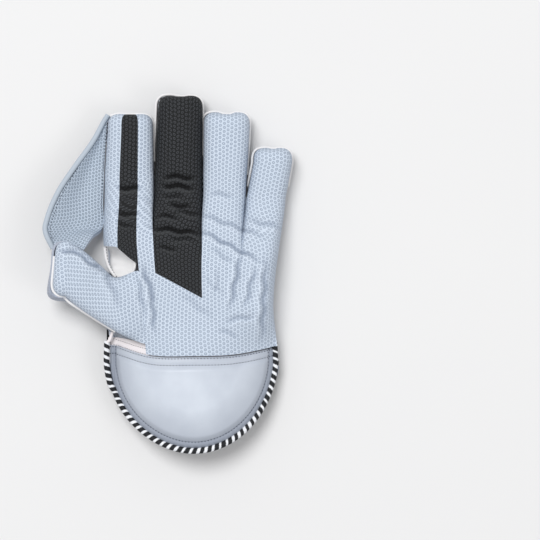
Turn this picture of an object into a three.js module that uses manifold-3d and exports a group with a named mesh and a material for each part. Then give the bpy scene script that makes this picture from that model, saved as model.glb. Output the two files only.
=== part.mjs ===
// Wicketkeeping glove for the left hand, lying on its back with the palm up.
// Millimetres: +Y to the fingertips, +X to the little finger, +Z up out of the palm.
// The origin is the centre of the wrist, on the flat of the back that the glove rests on.
import * as THREE from "three";
import Module from "manifold-3d";
import { mergeVertices } from "three/addons/utils/BufferGeometryUtils.js";

const HAND_WIDTH = 154; // across the four fingers
const HAND_LENGTH = 210; // wrist to the middle fingertip
const SEAM_HEIGHT = 12; // side seams above the surface
const FINGER_CROWN = 17; // rubber facing above the side seams, on the fingers
const PALM_CROWN = 30; // the same in the palm
const CROTCH_RISE = 3; // how far the seams climb between two fingers
const TIP_LIFT = 3; // how far the fingertips stand off the surface
const TIP_ROUND = 12; // corner rounding of a fingertip
const FACING_WALL = 1.8; // pimpled rubber on leather
const BACK_WALL = 3; // leather over foam
const LINING_WALL = 1.2; // cotton lining
const SEAM_GAP = 0.3; // clearance between neighbouring pieces
const CAP_WALL = 1.6; // sewn protectors on the fingertips
const WELT = 1.6; // raised seam round a finger back

const CUFF_WIDTH = 135; // palm side cuff panel, inside its piping
const CUFF_LENGTH = 86;
const CUFF_STRAIGHT = 9; // straight part of its sides
const CUFF_EDGE = 20; // its side edges above the surface
const CUFF_RISE = 26; // its arch above those edges
const CUFF_WALL = 5; // leather over thick foam
const CUFF_FALL = 0.3; // share of the arch lost at the end of the cuff
const BAND_WIDTH = 9; // stitched band along the top of the cuff panel
const LINING_SHOWN = 16; // how far the cuff's lining reaches past the panel into the wrist
const GAUNTLET_WIDTH = 133; // back panel of the cuff, inside its piping
const GAUNTLET_LENGTH = 84;
const GAUNTLET_LIFT = 2.4; // its outline above the surface
const PIPING = 4.6; // diameter of the striped piping

const THUMB_HEIGHT = 40; // thumb seams above the surface
const THUMB_CROWN = 14; // thumb facing above its seams
const THUMB_DEPTH = 20; // thumb back below its seams
const THUMB_ROUND = 13; // corner rounding of the thumb's tip
const THUMB_BULGE = 9; // how far the thumb's back swells past its outer seam
const WEB_WALL = 1.7; // each of the two layers of the catching web
const WEB_SEAM_HEIGHT = 17; // where the web is sewn to the index finger
const WEB_SAG = 5; // hollow of the web between the finger and the thumb
const WEB_BINDING = 4.4; // diameter of the rolled binding on its outer edge
const TAB_LENGTH = 25; // black tab on the thumb side of the wrist
const TAB_WALL = 0.8;

// Fingers: edges at the crotch and at the tip as shares of the hand's width, tip as a share of its length.
const FINGERS = [
  { name: "index", left: -0.491, right: -0.221, tipLeft: -0.472, tipRight: -0.226, tip: 0.926 },
  { name: "middle", left: -0.216, right: 0.043, tipLeft: -0.197, tipRight: 0.045, tip: 1.0 },
  { name: "ring", left: 0.048, right: 0.28, tipLeft: 0.051, tipRight: 0.303, tip: 0.933 },
  { name: "little", left: 0.287, right: 0.5, tipLeft: 0.325, tipRight: 0.535, tip: 0.79 },
];
// Outline of the palm: at is a share of the hand's length, left and right of its width.
const PALM_OUTLINE = [
  { at: -0.05, left: -0.42, right: 0.455 },
  { at: 0.0, left: -0.426, right: 0.452 },
  { at: 0.15, left: -0.449, right: 0.433 },
  { at: 0.26, left: -0.471, right: 0.441 },
  { at: 0.4, left: -0.496, right: 0.466 },
  { at: 0.59, left: -0.491, right: 0.5 },
  { at: 0.7, left: -0.491, right: 0.5 },
];
// Seam lines across the palm: at is a share of the way from the index to the little finger side,
// cut is where the black strips end and crotch is where the fingers part, as shares of the hand's length.
const PALM_LINES = [
  { at: 0.0, cut: 0.395, crotch: 0.676 },
  { at: 0.08, cut: 0.392, crotch: 0.676 },
  { at: 0.145, cut: 0.345, crotch: 0.676 },
  { at: 0.185, cut: 0.321, crotch: 0.676 },
  { at: 0.54, cut: 0.19, crotch: 0.676 },
  { at: 0.78, cut: 0.225, crotch: 0.592 },
  { at: 1.0, cut: 0.26, crotch: 0.59 },
];
// Seam between the palm and the cuff: at is a share of the cuff's width, y of its length.
const WRIST_LINE = [
  { at: -0.5, y: 0.0 },
  { at: -0.27, y: -0.1 },
  { at: 0.0, y: -0.108 },
  { at: 0.25, y: -0.095 },
  { at: 0.45, y: -0.04 },
  { at: 0.5, y: -0.02 },
];
// Thumb sections from the palm to the tip: inner and outer seam as shares of the hand's width and
// length, their heights as shares of the thumb's height, and the crown and depth as shares of theirs.
const THUMB = [
  {
    at: 0, innerX: -0.33, innerY: 0.325, outerX: -0.28, outerY: 0.0,
    innerZ: 0.9, outerZ: 0.9, crown: 0.5, depth: 1,
  },
  {
    at: 0.25, innerX: -0.419, innerY: 0.269, outerX: -0.385, outerY: 0.038,
    innerZ: 0.84, outerZ: 0.86, crown: 0.85, depth: 1,
  },
  {
    at: 0.5, innerX: -0.505, innerY: 0.318, outerX: -0.513, outerY: 0.095,
    innerZ: 0.82, outerZ: 0.82, crown: 1, depth: 1,
  },
  {
    at: 0.75, innerX: -0.59, innerY: 0.372, outerX: -0.615, outerY: 0.145,
    innerZ: 0.88, outerZ: 0.92, crown: 1, depth: 1,
  },
  {
    at: 1, innerX: -0.682, innerY: 0.415, outerX: -0.7, outerY: 0.195,
    innerZ: 0.95, outerZ: 1.08, crown: 0.8, depth: 0.85,
  },
];
// The catching web, from the index fingertip down to the thumb: its inner and outer edge as shares of
// the hand.
const WEB = [
  { at: 0, innerX: -0.477, innerY: 0.9, outerX: -0.482, outerY: 0.908, rise: 0.0 },
  { at: 0.2, innerX: -0.486, innerY: 0.8, outerX: -0.553, outerY: 0.812, rise: 0.2 },
  { at: 0.4, innerX: -0.494, innerY: 0.69, outerX: -0.649, outerY: 0.712, rise: 0.45 },
  { at: 0.6, innerX: -0.4995, innerY: 0.57, outerX: -0.739, outerY: 0.609, rise: 0.7 },
  { at: 0.8, innerX: -0.503, innerY: 0.47, outerX: -0.798, outerY: 0.5, rise: 0.9 },
  { at: 0.9, innerX: -0.55, innerY: 0.44, outerX: -0.804, outerY: 0.45, rise: 1.0 },
  { at: 1, innerX: -0.6, innerY: 0.38, outerX: -0.755, outerY: 0.375, rise: 1.05 },
];

const SQUARE = 2 / 3; // exponent of the rounded square section of a finger
const SEAM_ANGLE = 90; // section angle of the side seams
const STRIP_ANGLE = 12.5; // section angle of the black strip's edges on the index finger
const FINGER_ANGLES = [-90, -62, -34, -STRIP_ANGLE, STRIP_ANGLE, 34, 62, 90];
const UP = new THREE.Vector3(0, 0, 1);
const DOWN = new THREE.Vector3(0, 0, -1);
const WRIST = 0; // rows of the palm and fingers
const CUT = 1;
const CROTCH = 2;
const TIP_START = 3;
const TIP = 4;

const clamp = THREE.MathUtils.clamp;
const lerp = THREE.MathUtils.lerp;
const ease = THREE.MathUtils.smoothstep;
const angle = THREE.MathUtils.degToRad;
const soft = (x) => Math.sign(x) * Math.abs(x) ** SQUARE;
const across = (degrees) => soft(Math.sin(angle(degrees)));
const above = (degrees) => soft(Math.max(0, Math.cos(angle(degrees))));

const wasm = await Module();
wasm.setup();

// A smooth curve, or straight stretches, through one named column of a table.
function column(rows, name, Interpolant = THREE.CubicInterpolant) {
  const values = new Interpolant(
    rows.map((row) => row.at),
    rows.map((row) => row[name]),
    1,
    [0],
  );
  return (at) => values.evaluate(at)[0];
}

function columns(rows, Interpolant) {
  const names = Object.keys(rows[0]).filter((name) => name !== "at");
  return Object.fromEntries(names.map((name) => [name, column(rows, name, Interpolant)]));
}

const outline = columns(PALM_OUTLINE);
const lines = columns(PALM_LINES, THREE.LinearInterpolant);
const wrist = columns(WRIST_LINE);
const thumb = columns(THUMB);
const web = columns(WEB);

function steps(from, to, count) {
  return Array.from({ length: count + 1 }, (_, i) => lerp(from, to, i / count));
}

function solid(triangles) {
  const positions = triangles.flat().flatMap((p) => [p.x, p.y, p.z]);
  const loose = new THREE.BufferGeometry();
  loose.setAttribute("position", new THREE.Float32BufferAttribute(positions, 3));
  const merged = mergeVertices(loose, 1e-3);
  const index = merged.index.array;
  const kept = [];
  for (let i = 0; i < index.length; i += 3) {
    const [a, b, c] = [index[i], index[i + 1], index[i + 2]];
    if (a !== b && b !== c && c !== a) kept.push(a, b, c);
  }
  merged.setIndex(kept);
  return merged;
}

function volumeOf(triangles) {
  return triangles.reduce((sum, [a, b, c]) => sum + a.dot(new THREE.Vector3().crossVectors(b, c)) / 6, 0);
}

// A layer of material over a grid of points, whose face looks to the outside. The face lies standoff behind
// point(column, row) and the reverse one wall deeper. present says which cells exist, joined which cells the
// surface runs on over, and level where the wall is measured flat, or the way that it faces there.
function layer(point, cols, rows, wall, options = {}) {
  const { standoff = 0, outside = UP, present = () => true, joined = present, level = () => false } = options;
  const grid = rows.map((v) => cols.map((u) => point(u, v)));
  const inGrid = (i, j) => i >= 0 && j >= 0 && i < rows.length - 1 && j < cols.length - 1;
  const cell = (i, j) => inGrid(i, j) && present(cols[j], cols[j + 1], rows[i]);
  const smooth = (i, j) => inGrid(i, j) && joined(cols[j], cols[j + 1], rows[i]);
  const beside = (i, j, di, dj) => {
    const [a, b] = di
      ? [smooth(Math.min(i, i + di), j - 1), smooth(Math.min(i, i + di), j)]
      : [smooth(i - 1, Math.min(j, j + dj)), smooth(i, Math.min(j, j + dj))];
    return a || b ? grid[i + di][j + dj] : grid[i][j];
  };
  const course = (i, j, di, dj) => {
    const ahead = beside(i, j, di, dj).clone().sub(grid[i][j]).normalize();
    const behind = beside(i, j, -di, -dj).clone().sub(grid[i][j]).normalize();
    return ahead.sub(behind);
  };
  const normalAt = (i, j) => course(i, j, 0, 1).cross(course(i, j, 1, 0)).normalize();
  const facing = new THREE.Vector3();
  grid.forEach((line, i) => line.forEach((p, j) => facing.add(normalAt(i, j))));
  const side = Math.sign(facing.dot(outside));
  const depth = (i, j) => {
    const normal = normalAt(i, j).multiplyScalar(side);
    const flat = level(cols[j], rows[i]);
    if (flat) return flat.isVector3 ? flat : normal.setZ(0).normalize();
    return normal;
  };
  const shift = (distance) =>
    grid.map((line, i) => line.map((p, j) => p.clone().addScaledVector(depth(i, j), -distance)));
  const face = shift(standoff);
  const reverse = shift(standoff + wall);
  const triangles = [];
  const quad = (a, b, c, d) => triangles.push([a, b, c], [a, c, d]);
  for (let i = 0; i < rows.length - 1; i++)
    for (let j = 0; j < cols.length - 1; j++) {
      if (!cell(i, j)) continue;
      quad(face[i][j], face[i][j + 1], face[i + 1][j + 1], face[i + 1][j]);
      quad(reverse[i][j], reverse[i + 1][j], reverse[i + 1][j + 1], reverse[i][j + 1]);
      if (!cell(i - 1, j)) quad(face[i][j + 1], face[i][j], reverse[i][j], reverse[i][j + 1]);
      if (!cell(i + 1, j)) quad(face[i + 1][j], face[i + 1][j + 1], reverse[i + 1][j + 1], reverse[i + 1][j]);
      if (!cell(i, j - 1)) quad(face[i][j], face[i + 1][j], reverse[i + 1][j], reverse[i][j]);
      if (!cell(i, j + 1)) quad(face[i + 1][j + 1], face[i][j + 1], reverse[i][j + 1], reverse[i + 1][j + 1]);
    }
  if (volumeOf(triangles) < 0) triangles.forEach((t) => t.reverse());
  return solid(triangles);
}

// A round cord along a smooth path.
function cord(points, diameter, count, sides) {
  const radius = diameter / 2;
  const turns = steps(0, 360, sides).slice(0, sides).map(angle);
  const round = turns.map((a) => new THREE.Vector2(radius * Math.cos(a), radius * Math.sin(a)));
  const section = new THREE.Shape(round);
  const path = new THREE.CatmullRomCurve3(points, false, "centripetal");
  const geometry = new THREE.ExtrudeGeometry(section, { steps: count, extrudePath: path, curveSegments: 1 });
  geometry.deleteAttribute("normal");
  geometry.deleteAttribute("uv");
  return mergeVertices(geometry, 1e-3);
}

function manifoldOf(geometry) {
  return new wasm.Manifold(
    new wasm.Mesh({
      numProp: 3,
      vertProperties: geometry.attributes.position.array,
      triVerts: new Uint32Array(geometry.index.array),
    }),
  );
}

function minus(geometry, tool) {
  const mesh = manifoldOf(geometry).subtract(manifoldOf(tool)).getMesh();
  const cut = new THREE.BufferGeometry();
  cut.setAttribute("position", new THREE.BufferAttribute(mesh.vertProperties, 3));
  cut.setIndex(new THREE.BufferAttribute(mesh.triVerts, 1));
  return cut;
}

// Height of the cuff's arch over x, which the palm's lower edge follows.
function archHeight(x) {
  const share = clamp((2 * x) / CUFF_WIDTH, -1, 1);
  return CUFF_EDGE + CUFF_RISE * (1 - share * share);
}

const wristY = (x) => CUFF_LENGTH * wrist.y(clamp(x / CUFF_WIDTH, -0.5, 0.5));

// Where a column of a finger stands between the two sides of the palm.
function shareOf({ finger, degrees }) {
  const { left, right } = FINGERS[finger];
  const x = (left + right) / 2 + ((right - left) / 2) * across(degrees);
  const [first, last] = [FINGERS[0].left, FINGERS[FINGERS.length - 1].right];
  return (x - first) / (last - first);
}

function palmX(share, y) {
  const at = y / HAND_LENGTH;
  return HAND_WIDTH * lerp(outline.left(at), outline.right(at), share);
}

const isOuter = ({ finger, degrees }) =>
  (finger === 0 && degrees < 0) || (finger === FINGERS.length - 1 && degrees > 0);

const seamHeight = (row) => SEAM_HEIGHT + TIP_LIFT * clamp(row - CROTCH, 0, 1);

// A point of the rubber facing: from the wrist through the palm to the crotches, then up each finger.
function facingPoint(at, row) {
  const share = shareOf(at);
  const crotchY = HAND_LENGTH * lines.crotch(share);
  const open = CROTCH_RISE / FINGER_CROWN;
  if (row > CROTCH) {
    const finger = FINGERS[at.finger];
    const along = clamp(row - CROTCH, 0, 1);
    const turn = angle(90 * clamp(row - TIP_START, 0, 1));
    const left = HAND_WIDTH * lerp(finger.left, finger.tipLeft, along);
    const right = HAND_WIDTH * lerp(finger.right, finger.tipRight, along);
    const half = (right - left) / 2 - TIP_ROUND * (1 - soft(Math.cos(turn)));
    const tipY = HAND_LENGTH * finger.tip;
    const y = lerp(crotchY, tipY - TIP_ROUND, along) + TIP_ROUND * soft(Math.sin(turn));
    const fade = isOuter(at) ? 0 : open * (1 - ease(row, CROTCH, CROTCH + 0.2));
    const rise = lerp(above(at.degrees), 1, fade) * (row === TIP ? 0 : soft(Math.cos(turn)));
    const x = (left + right) / 2 + half * across(at.degrees);
    return new THREE.Vector3(x, y, seamHeight(row) + FINGER_CROWN * rise);
  }
  const cutY = HAND_LENGTH * lines.cut(share);
  const wristX = palmX(share, wristY(palmX(share, 0)));
  const y = row > CUT ? lerp(cutY, crotchY, row - CUT) : lerp(wristY(wristX), cutY, row);
  const x = palmX(share, y);
  const crown = lerp(PALM_CROWN, FINGER_CROWN, ease(row, CUT + 0.1, CROTCH));
  const valley = isOuter(at) ? 1 : (1 - open) * ease(row, CUT + 0.3, CROTCH);
  const height = SEAM_HEIGHT + crown * (1 - valley * (1 - above(at.degrees)));
  const hem = 2 * SEAM_GAP * (1 - clamp(row / 0.25, 0, 1));
  return new THREE.Vector3(x, y + hem, lerp(archHeight(x), height, ease(row, WRIST, 0.7)));
}

const onSeam = ({ finger, degrees }, row) =>
  row === TIP || (Math.abs(degrees) === SEAM_ANGLE && (row > CROTCH + 0.1 || isOuter({ finger, degrees })));

function fingerColumns(finger, angles = FINGER_ANGLES) {
  return angles.map((degrees) => ({ finger, degrees }));
}

const FINGER_ROWS = [2.2, 2.6, TIP_START, 3.35, 3.7, TIP];
const SEAM = 0.6; // half a seam's gap as a section angle
const SEAM_ROW = 0.004; // the same as a row
const PALM_ROWS = [0, 0.25, 0.5, 0.75, CUT - SEAM_ROW, CUT + SEAM_ROW, 1.2, 1.45, 1.7, 1.85, CROTCH];
const FACING_ROWS = [...PALM_ROWS, ...FINGER_ROWS];
const STRIP_EDGE = [STRIP_ANGLE - SEAM, STRIP_ANGLE + SEAM];
const INDEX_ANGLES = [-90, -62, -34, -STRIP_EDGE[1], -STRIP_EDGE[0], ...STRIP_EDGE, 34, 62, 90];
const FACING_COLUMNS = FINGERS.flatMap((_, finger) =>
  fingerColumns(finger, finger ? FINGER_ANGLES : INDEX_ANGLES),
);

// The facings share one grid, and each takes its own cells of it.
function facing(owns) {
  const joined = (a, b, row) => a.finger === b.finger || row < CROTCH;
  const options = { present: owns, joined, level: onSeam };
  return layer(facingPoint, FACING_COLUMNS, FACING_ROWS, FACING_WALL, options);
}

const strip = (a, b, row, finger, from, to) =>
  row > CUT && a.finger === finger && b.finger === finger && a.degrees >= from && b.degrees <= to;

// The pale facing: the index finger's inner band, the ring and little fingers and the palm under the
// black pieces.
function palmFacing() {
  return facing((a, b, row) => {
    if (a.finger === 0 && a.degrees < STRIP_ANGLE) return false;
    if (row < CUT - SEAM_ROW) return true;
    return a.finger === b.finger ? a.finger !== 1 : a.finger === 2 && row < CROTCH;
  });
}

// Leather back of a finger: a trough nested inside the facing, with its underside flattened on the surface.
const BACK_INSET = FACING_WALL + SEAM_GAP + 0.2; // from the facing's outside

function fingerBackPoint({ finger, degrees }, row) {
  const { left, right, tipLeft, tipRight, tip } = FINGERS[finger];
  const along = clamp(row - CROTCH, 0, 1);
  const turn = angle(90 * clamp(row - TIP_START, 0, 1));
  const centre = (HAND_WIDTH * lerp(left + right, tipLeft + tipRight, along)) / 2;
  const full = (HAND_WIDTH * lerp(right - left, tipRight - tipLeft, along)) / 2;
  const half = full - BACK_INSET - (TIP_ROUND - BACK_INSET) * (1 - soft(Math.cos(turn)));
  const start = HAND_LENGTH * lines.crotch(shareOf({ finger, degrees })) + 4 * SEAM_GAP;
  const end = HAND_LENGTH * tip - TIP_ROUND;
  const y = lerp(start, end, along) + (TIP_ROUND - BACK_INSET) * soft(Math.sin(turn));
  const drop = row === TIP ? 0 : above(degrees) * soft(Math.cos(turn));
  const floor = TIP_LIFT * along;
  return new THREE.Vector3(centre + half * across(degrees), y, lerp(seamHeight(row), floor, drop));
}

function fingerBack(finger) {
  const rows = [CROTCH, 2.35, 2.7, TIP_START, 3.35, 3.7, TIP];
  const level = ({ degrees }, row) => Math.abs(degrees) === SEAM_ANGLE || row === TIP;
  const cols = fingerColumns(finger, [-90, -64, -32, 0, 32, 64, 90]);
  return layer(fingerBackPoint, cols, rows, BACK_WALL, { outside: DOWN, level });
}

// Sewn protector over the back of a fingertip.
function fingerCap(finger) {
  const cols = fingerColumns(finger, [-52, -26, 0, 26, 52]);
  return layer(fingerBackPoint, cols, [2.72, 2.87, TIP_START, 3.3, 3.55], CAP_WALL, {
    outside: DOWN,
    standoff: -CAP_WALL - SEAM_GAP,
  });
}

// Raised seam round a finger back, tucked under the rim of the facing.
function fingerWelt(finger) {
  const inset = WELT / 2 + 0.1;
  const rim = (degrees, row) => {
    const p = facingPoint({ finger, degrees }, row);
    p.z = seamHeight(row) - SEAM_GAP - WELT / 2;
    return p;
  };
  const up = [2.3, 2.6, TIP_START, 3.35, 3.7];
  const points = [
    ...up.map((row) => rim(-90, row)),
    rim(-90, TIP),
    rim(90, TIP),
    ...up.reverse().map((row) => rim(90, row)),
  ];
  const middle = points.reduce((sum, p) => sum.add(p), new THREE.Vector3()).divideScalar(points.length);
  points.forEach((p) => {
    const inward = new THREE.Vector3(middle.x - p.x, Math.min(0, middle.y - p.y) * 0.25, 0).normalize();
    p.addScaledVector(inward, inset);
  });
  return cord(points, WELT, 22, 6);
}

// Back of the hand and the gauntlet behind the wrist, in one padded piece. Rows run from the end of the
// gauntlet (0) to the wrist (1) and on to the crotches (2); columns are angles from side to side.
const GAUNTLET_END = 0;
const BACK_WRIST = 1;
const BACK_LEFT = -0.484; // its thumb side at the wrist as a share of the hand's width
const FLAT_POWER = 10; // how sharply the sides turn up from the flat
const FLAT_SHARE = 0.1;

const turnUp = (degrees) =>
  Math.max(0, (Math.abs(Math.sin(angle(degrees))) ** FLAT_POWER - FLAT_SHARE) / (1 - FLAT_SHARE));

// Height of the palm facing's free edge on the little finger side.
function rightRim(y) {
  const at = { finger: FINGERS.length - 1, degrees: 90 };
  const low = facingPoint(at, WRIST).y;
  const high = facingPoint(at, CUT).y;
  return facingPoint(at, clamp((y - low) / (high - low), 0, 1)).z;
}

// The back's sides, inside the facing; on the thumb side it runs straight on below the index finger.
function backSide(side, y) {
  const at = clamp(y / HAND_LENGTH, 0, 1);
  const left = HAND_WIDTH * lerp(BACK_LEFT, FINGERS[0].left, at) + BACK_INSET;
  const right = HAND_WIDTH * outline.right(at) - BACK_INSET;
  return lerp((GAUNTLET_WIDTH / 2) * side, lerp(left, right, (side + 1) / 2), ease(y, -1, 9));
}

function handBackPoint(degrees, row) {
  const side = Math.sin(angle(degrees));
  if (row < BACK_WRIST) {
    const end = -CUFF_STRAIGHT - (GAUNTLET_LENGTH - CUFF_STRAIGHT) * Math.cos(angle(degrees));
    const y = lerp(end, wristY((GAUNTLET_WIDTH / 2) * side), row);
    const rim = (SEAM_HEIGHT - 2 * SEAM_GAP) * ease(y, -1.6 * CUFF_STRAIGHT, 0);
    const reach = Math.hypot(side, Math.min(0, y + CUFF_STRAIGHT) / (GAUNTLET_LENGTH - CUFF_STRAIGHT));
    const lift = GAUNTLET_LIFT * ease(reach, 0.7, 1) * (1 - ease(y, -25, 0));
    return new THREE.Vector3(backSide(side, y), y, Math.max(lift, rim * turnUp(degrees)));
  }
  const share = (side + 1) / 2;
  const crotch = HAND_LENGTH * lines.crotch(share);
  const y = lerp(wristY((GAUNTLET_WIDTH / 2) * side), crotch, row - BACK_WRIST);
  const rim = side > 0 ? lerp(SEAM_HEIGHT, rightRim(y), ease(row, 1, 1.08)) : SEAM_HEIGHT;
  return new THREE.Vector3(backSide(side, y), y, (rim - 2 * SEAM_GAP) * turnUp(degrees));
}

const BACK_ANGLES = [-90, -78, -66, -54, -36, -18, 4.6, 20, 34, 54, 66, 78, 90];
const BACK_ROWS = [0, 0.12, 0.35, 0.6, 0.8, 1, 1.08, 1.2, 1.4, 1.6, 1.8, 2];

function handBack() {
  const level = (degrees) => Math.abs(degrees) === SEAM_ANGLE && new THREE.Vector3(Math.sign(degrees), 0, 0);
  return layer(handBackPoint, BACK_ANGLES, BACK_ROWS, BACK_WALL, { outside: DOWN, level });
}

function backLining() {
  return layer(handBackPoint, BACK_ANGLES, BACK_ROWS, LINING_WALL, {
    outside: DOWN,
    standoff: BACK_WALL + SEAM_GAP,
    present: (a, b, row) => a >= -66 && b <= 66 && row > GAUNTLET_END && row < 1.7,
    joined: () => true,
  });
}

// Black tab folded over the thumb side of the wrist.
function sideTab() {
  const from = BACK_WRIST + 0.03;
  const rows = steps(from, from + TAB_LENGTH / (HAND_LENGTH * 0.68), 3);
  return layer(handBackPoint, [-89, -80, -70], rows, TAB_WALL, {
    outside: DOWN,
    standoff: -TAB_WALL - 2 * SEAM_GAP,
  });
}

// Padded panel on the palm side of the cuff: row 0 is the wrist seam and 1 its piped outline.
function cuffPoint(degrees, row) {
  const side = Math.sin(angle(degrees));
  const x = (CUFF_WIDTH / 2) * side;
  const end = -CUFF_STRAIGHT - (CUFF_LENGTH - CUFF_STRAIGHT) * Math.cos(angle(degrees));
  const fall = 1 - CUFF_FALL * row * row;
  return new THREE.Vector3(x, lerp(wristY(x) - SEAM_GAP, end, row), lerp(CUFF_EDGE, archHeight(x), fall));
}

// Row of the cuff panel that lies a given length below the wrist seam.
function cuffRow(degrees, length) {
  return length / (cuffPoint(degrees, 0).y - cuffPoint(degrees, 1).y);
}

const CUFF_ANGLES = [-85, -75, -63, -48, -32, -16, 0, 16, 32, 48, 63, 75, 85];

function cuffPanel() {
  const from = (degrees) => cuffRow(degrees, BAND_WIDTH + SEAM_GAP);
  const point = (degrees, row) => cuffPoint(degrees, lerp(Math.min(0.9, from(degrees)), 1, row));
  return layer(point, CUFF_ANGLES, [0, 0.2, 0.45, 0.7, 0.9, 1], CUFF_WALL);
}

function cuffBand() {
  const point = (degrees, row) => cuffPoint(degrees, row * Math.min(0.9, cuffRow(degrees, BAND_WIDTH)));
  return layer(point, CUFF_ANGLES, [0, 1], CUFF_WALL);
}

function cuffLining() {
  const point = (degrees, row) => {
    const p = cuffPoint(degrees, Math.max(0, row));
    if (row < 0) p.y += -row * LINING_SHOWN;
    return p;
  };
  return layer(point, CUFF_ANGLES.slice(1, -1), [-1, -0.5, 0, 0.3, 0.6, 0.96], LINING_WALL, {
    standoff: CUFF_WALL + 2 * SEAM_GAP,
  });
}

// The direction out of a panel at its outline, and that of its thickness there.
function rimFrame(point, degrees, row) {
  const along = point(degrees + 0.5, row).sub(point(degrees - 0.5, row));
  const down = point(degrees, row + 0.01).sub(point(degrees, row - 0.01));
  const normal = along.clone().cross(down).normalize();
  if (normal.z < 0) normal.negate();
  const outward = along.cross(UP).projectOnPlane(normal).normalize();
  if (outward.dot(point(degrees, row)) < 0) outward.negate();
  return { outward, normal };
}

// Striped piping along the outline of the palm side panel, against the middle of its wall.
function palmPiping() {
  const last = CUFF_ANGLES.at(-1);
  const seat = (degrees, row) => {
    const { outward, normal } = rimFrame(cuffPoint, degrees, row);
    return cuffPoint(degrees, row)
      .addScaledVector(outward, PIPING / 2 + 2 * SEAM_GAP)
      .addScaledVector(normal, -CUFF_WALL / 2);
  };
  const round = steps(-last, last, 20).map((degrees) => seat(degrees, 1));
  const points = [seat(-last, 0.1), seat(-last, 0.6), ...round, seat(last, 0.6), seat(last, 0.1)];
  return cord(points, PIPING, 44, 8);
}

// The same round the gauntlet, which lies flat.
function backPiping() {
  const seat = (degrees) => {
    const p = handBackPoint(degrees, GAUNTLET_END);
    const outward = p.clone().add(new THREE.Vector3(0, CUFF_STRAIGHT, 0)).setZ(0).normalize();
    return p.addScaledVector(outward, PIPING / 2 + 1.5 * SEAM_GAP).addScaledVector(UP, BACK_WALL / 2);
  };
  return cord(steps(-87, 87, 20).map(seat), PIPING, 44, 8);
}

// Thumb sections: a seam on each side and an arch between them.
function thumbSection(at) {
  const s = Math.min(at, 1);
  const size = new THREE.Vector3(HAND_WIDTH, HAND_LENGTH, THUMB_HEIGHT);
  const inner = new THREE.Vector3(thumb.innerX(s), thumb.innerY(s), thumb.innerZ(s)).multiply(size);
  const outer = new THREE.Vector3(thumb.outerX(s), thumb.outerY(s), thumb.outerZ(s)).multiply(size);
  const middle = new THREE.Vector3().addVectors(inner, outer).multiplyScalar(0.5);
  const chord = new THREE.Vector3().subVectors(outer, inner);
  const half = chord.length() / 2;
  chord.normalize();
  const ahead = new THREE.Vector3(chord.y, -chord.x, 0).normalize();
  const up = new THREE.Vector3().crossVectors(chord, ahead).normalize();
  if (up.z < 0) up.negate();
  const crown = THUMB_CROWN * thumb.crown(s);
  return { middle, chord, half, ahead, up, crown, depth: THUMB_DEPTH * thumb.depth(s) };
}

// A point of the thumb: degrees run from the inner seam (-90) to the outer (90), over the top or under.
function thumbPoint(degrees, row, under, grow = 0, deeper = 0) {
  const { middle, chord, half, ahead, up, crown, depth } = thumbSection(row);
  const turn = angle(90 * clamp(row - 1, 0, 1));
  const width = half - THUMB_ROUND * (1 - soft(Math.cos(turn))) + grow;
  const height = (under ? -depth - grow - deeper : crown + grow) * (row >= 2 ? 0 : soft(Math.cos(turn)));
  const bulge = under && degrees > 0 ? THUMB_BULGE * Math.sin(angle(2 * degrees)) * 0.5 : 0;
  return middle
    .clone()
    .addScaledVector(chord, width * across(degrees) + bulge * soft(Math.cos(turn)))
    .addScaledVector(ahead, (THUMB_ROUND + grow) * soft(Math.sin(turn)))
    .addScaledVector(up, height * above(degrees));
}

const THUMB_JOIN = 0.3; // share of the thumb over which it flows out of the palm

function thumbFacingPoint(degrees, row) {
  const seamRow = lerp(CUT - 0.07, 0.12, (degrees + 90) / 180);
  const edge = facingPoint({ finger: 0, degrees: STRIP_ANGLE + 0.4 }, seamRow);
  edge.x -= 4 * SEAM_GAP;
  const free = thumbPoint(degrees, row, false);
  return edge.lerp(free, ease(row, 0, THUMB_JOIN));
}

const THUMB_ANGLES = [-90, -68, -46, -24, 0, 24, 46, 68, 90];
const onThumbSeam = (degrees, row) => row >= 2 || Math.abs(degrees) === SEAM_ANGLE;

function thumbFacing() {
  const rows = [0, 0.08, 0.16, 0.24, 0.32, 0.5, 0.7, 0.88, 1, 1.35, 1.7, 2];
  return layer(thumbFacingPoint, THUMB_ANGLES, rows, FACING_WALL, {
    level: (degrees, row) => row > THUMB_JOIN && onThumbSeam(degrees, row),
  });
}

const BACK_JOIN = [0.42, 0.62]; // rows over which the thumb's back leaves the hand's back

function thumbBackPoint(degrees, row) {
  const share = (degrees + 90) / 180;
  const y = HAND_LENGTH * lerp(0.285, 0.05, share);
  const rim = new THREE.Vector3(backSide(-1, y) + BACK_WALL / 3, y, SEAM_HEIGHT + SEAM_GAP);
  const free = thumbPoint(degrees, row, true);
  free.z -= SEAM_GAP;
  return rim.lerp(free, ease(row, BACK_JOIN[0], BACK_JOIN[1]));
}

function thumbBack() {
  const rows = [BACK_JOIN[0], 0.48, 0.54, BACK_JOIN[1], 0.8, 1, 1.35, 1.7, 2];
  return layer(thumbBackPoint, THUMB_ANGLES, rows, BACK_WALL - 1, {
    outside: DOWN,
    level: (degrees, row) => row >= BACK_JOIN[1] && onThumbSeam(degrees, row),
  });
}

function thumbCap() {
  return layer(thumbBackPoint, [-48, -24, 0, 24, 48, 66], [0.82, 0.94, 1.05, 1.3, 1.5], CAP_WALL, {
    outside: DOWN,
    standoff: -CAP_WALL - SEAM_GAP,
  });
}

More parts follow.
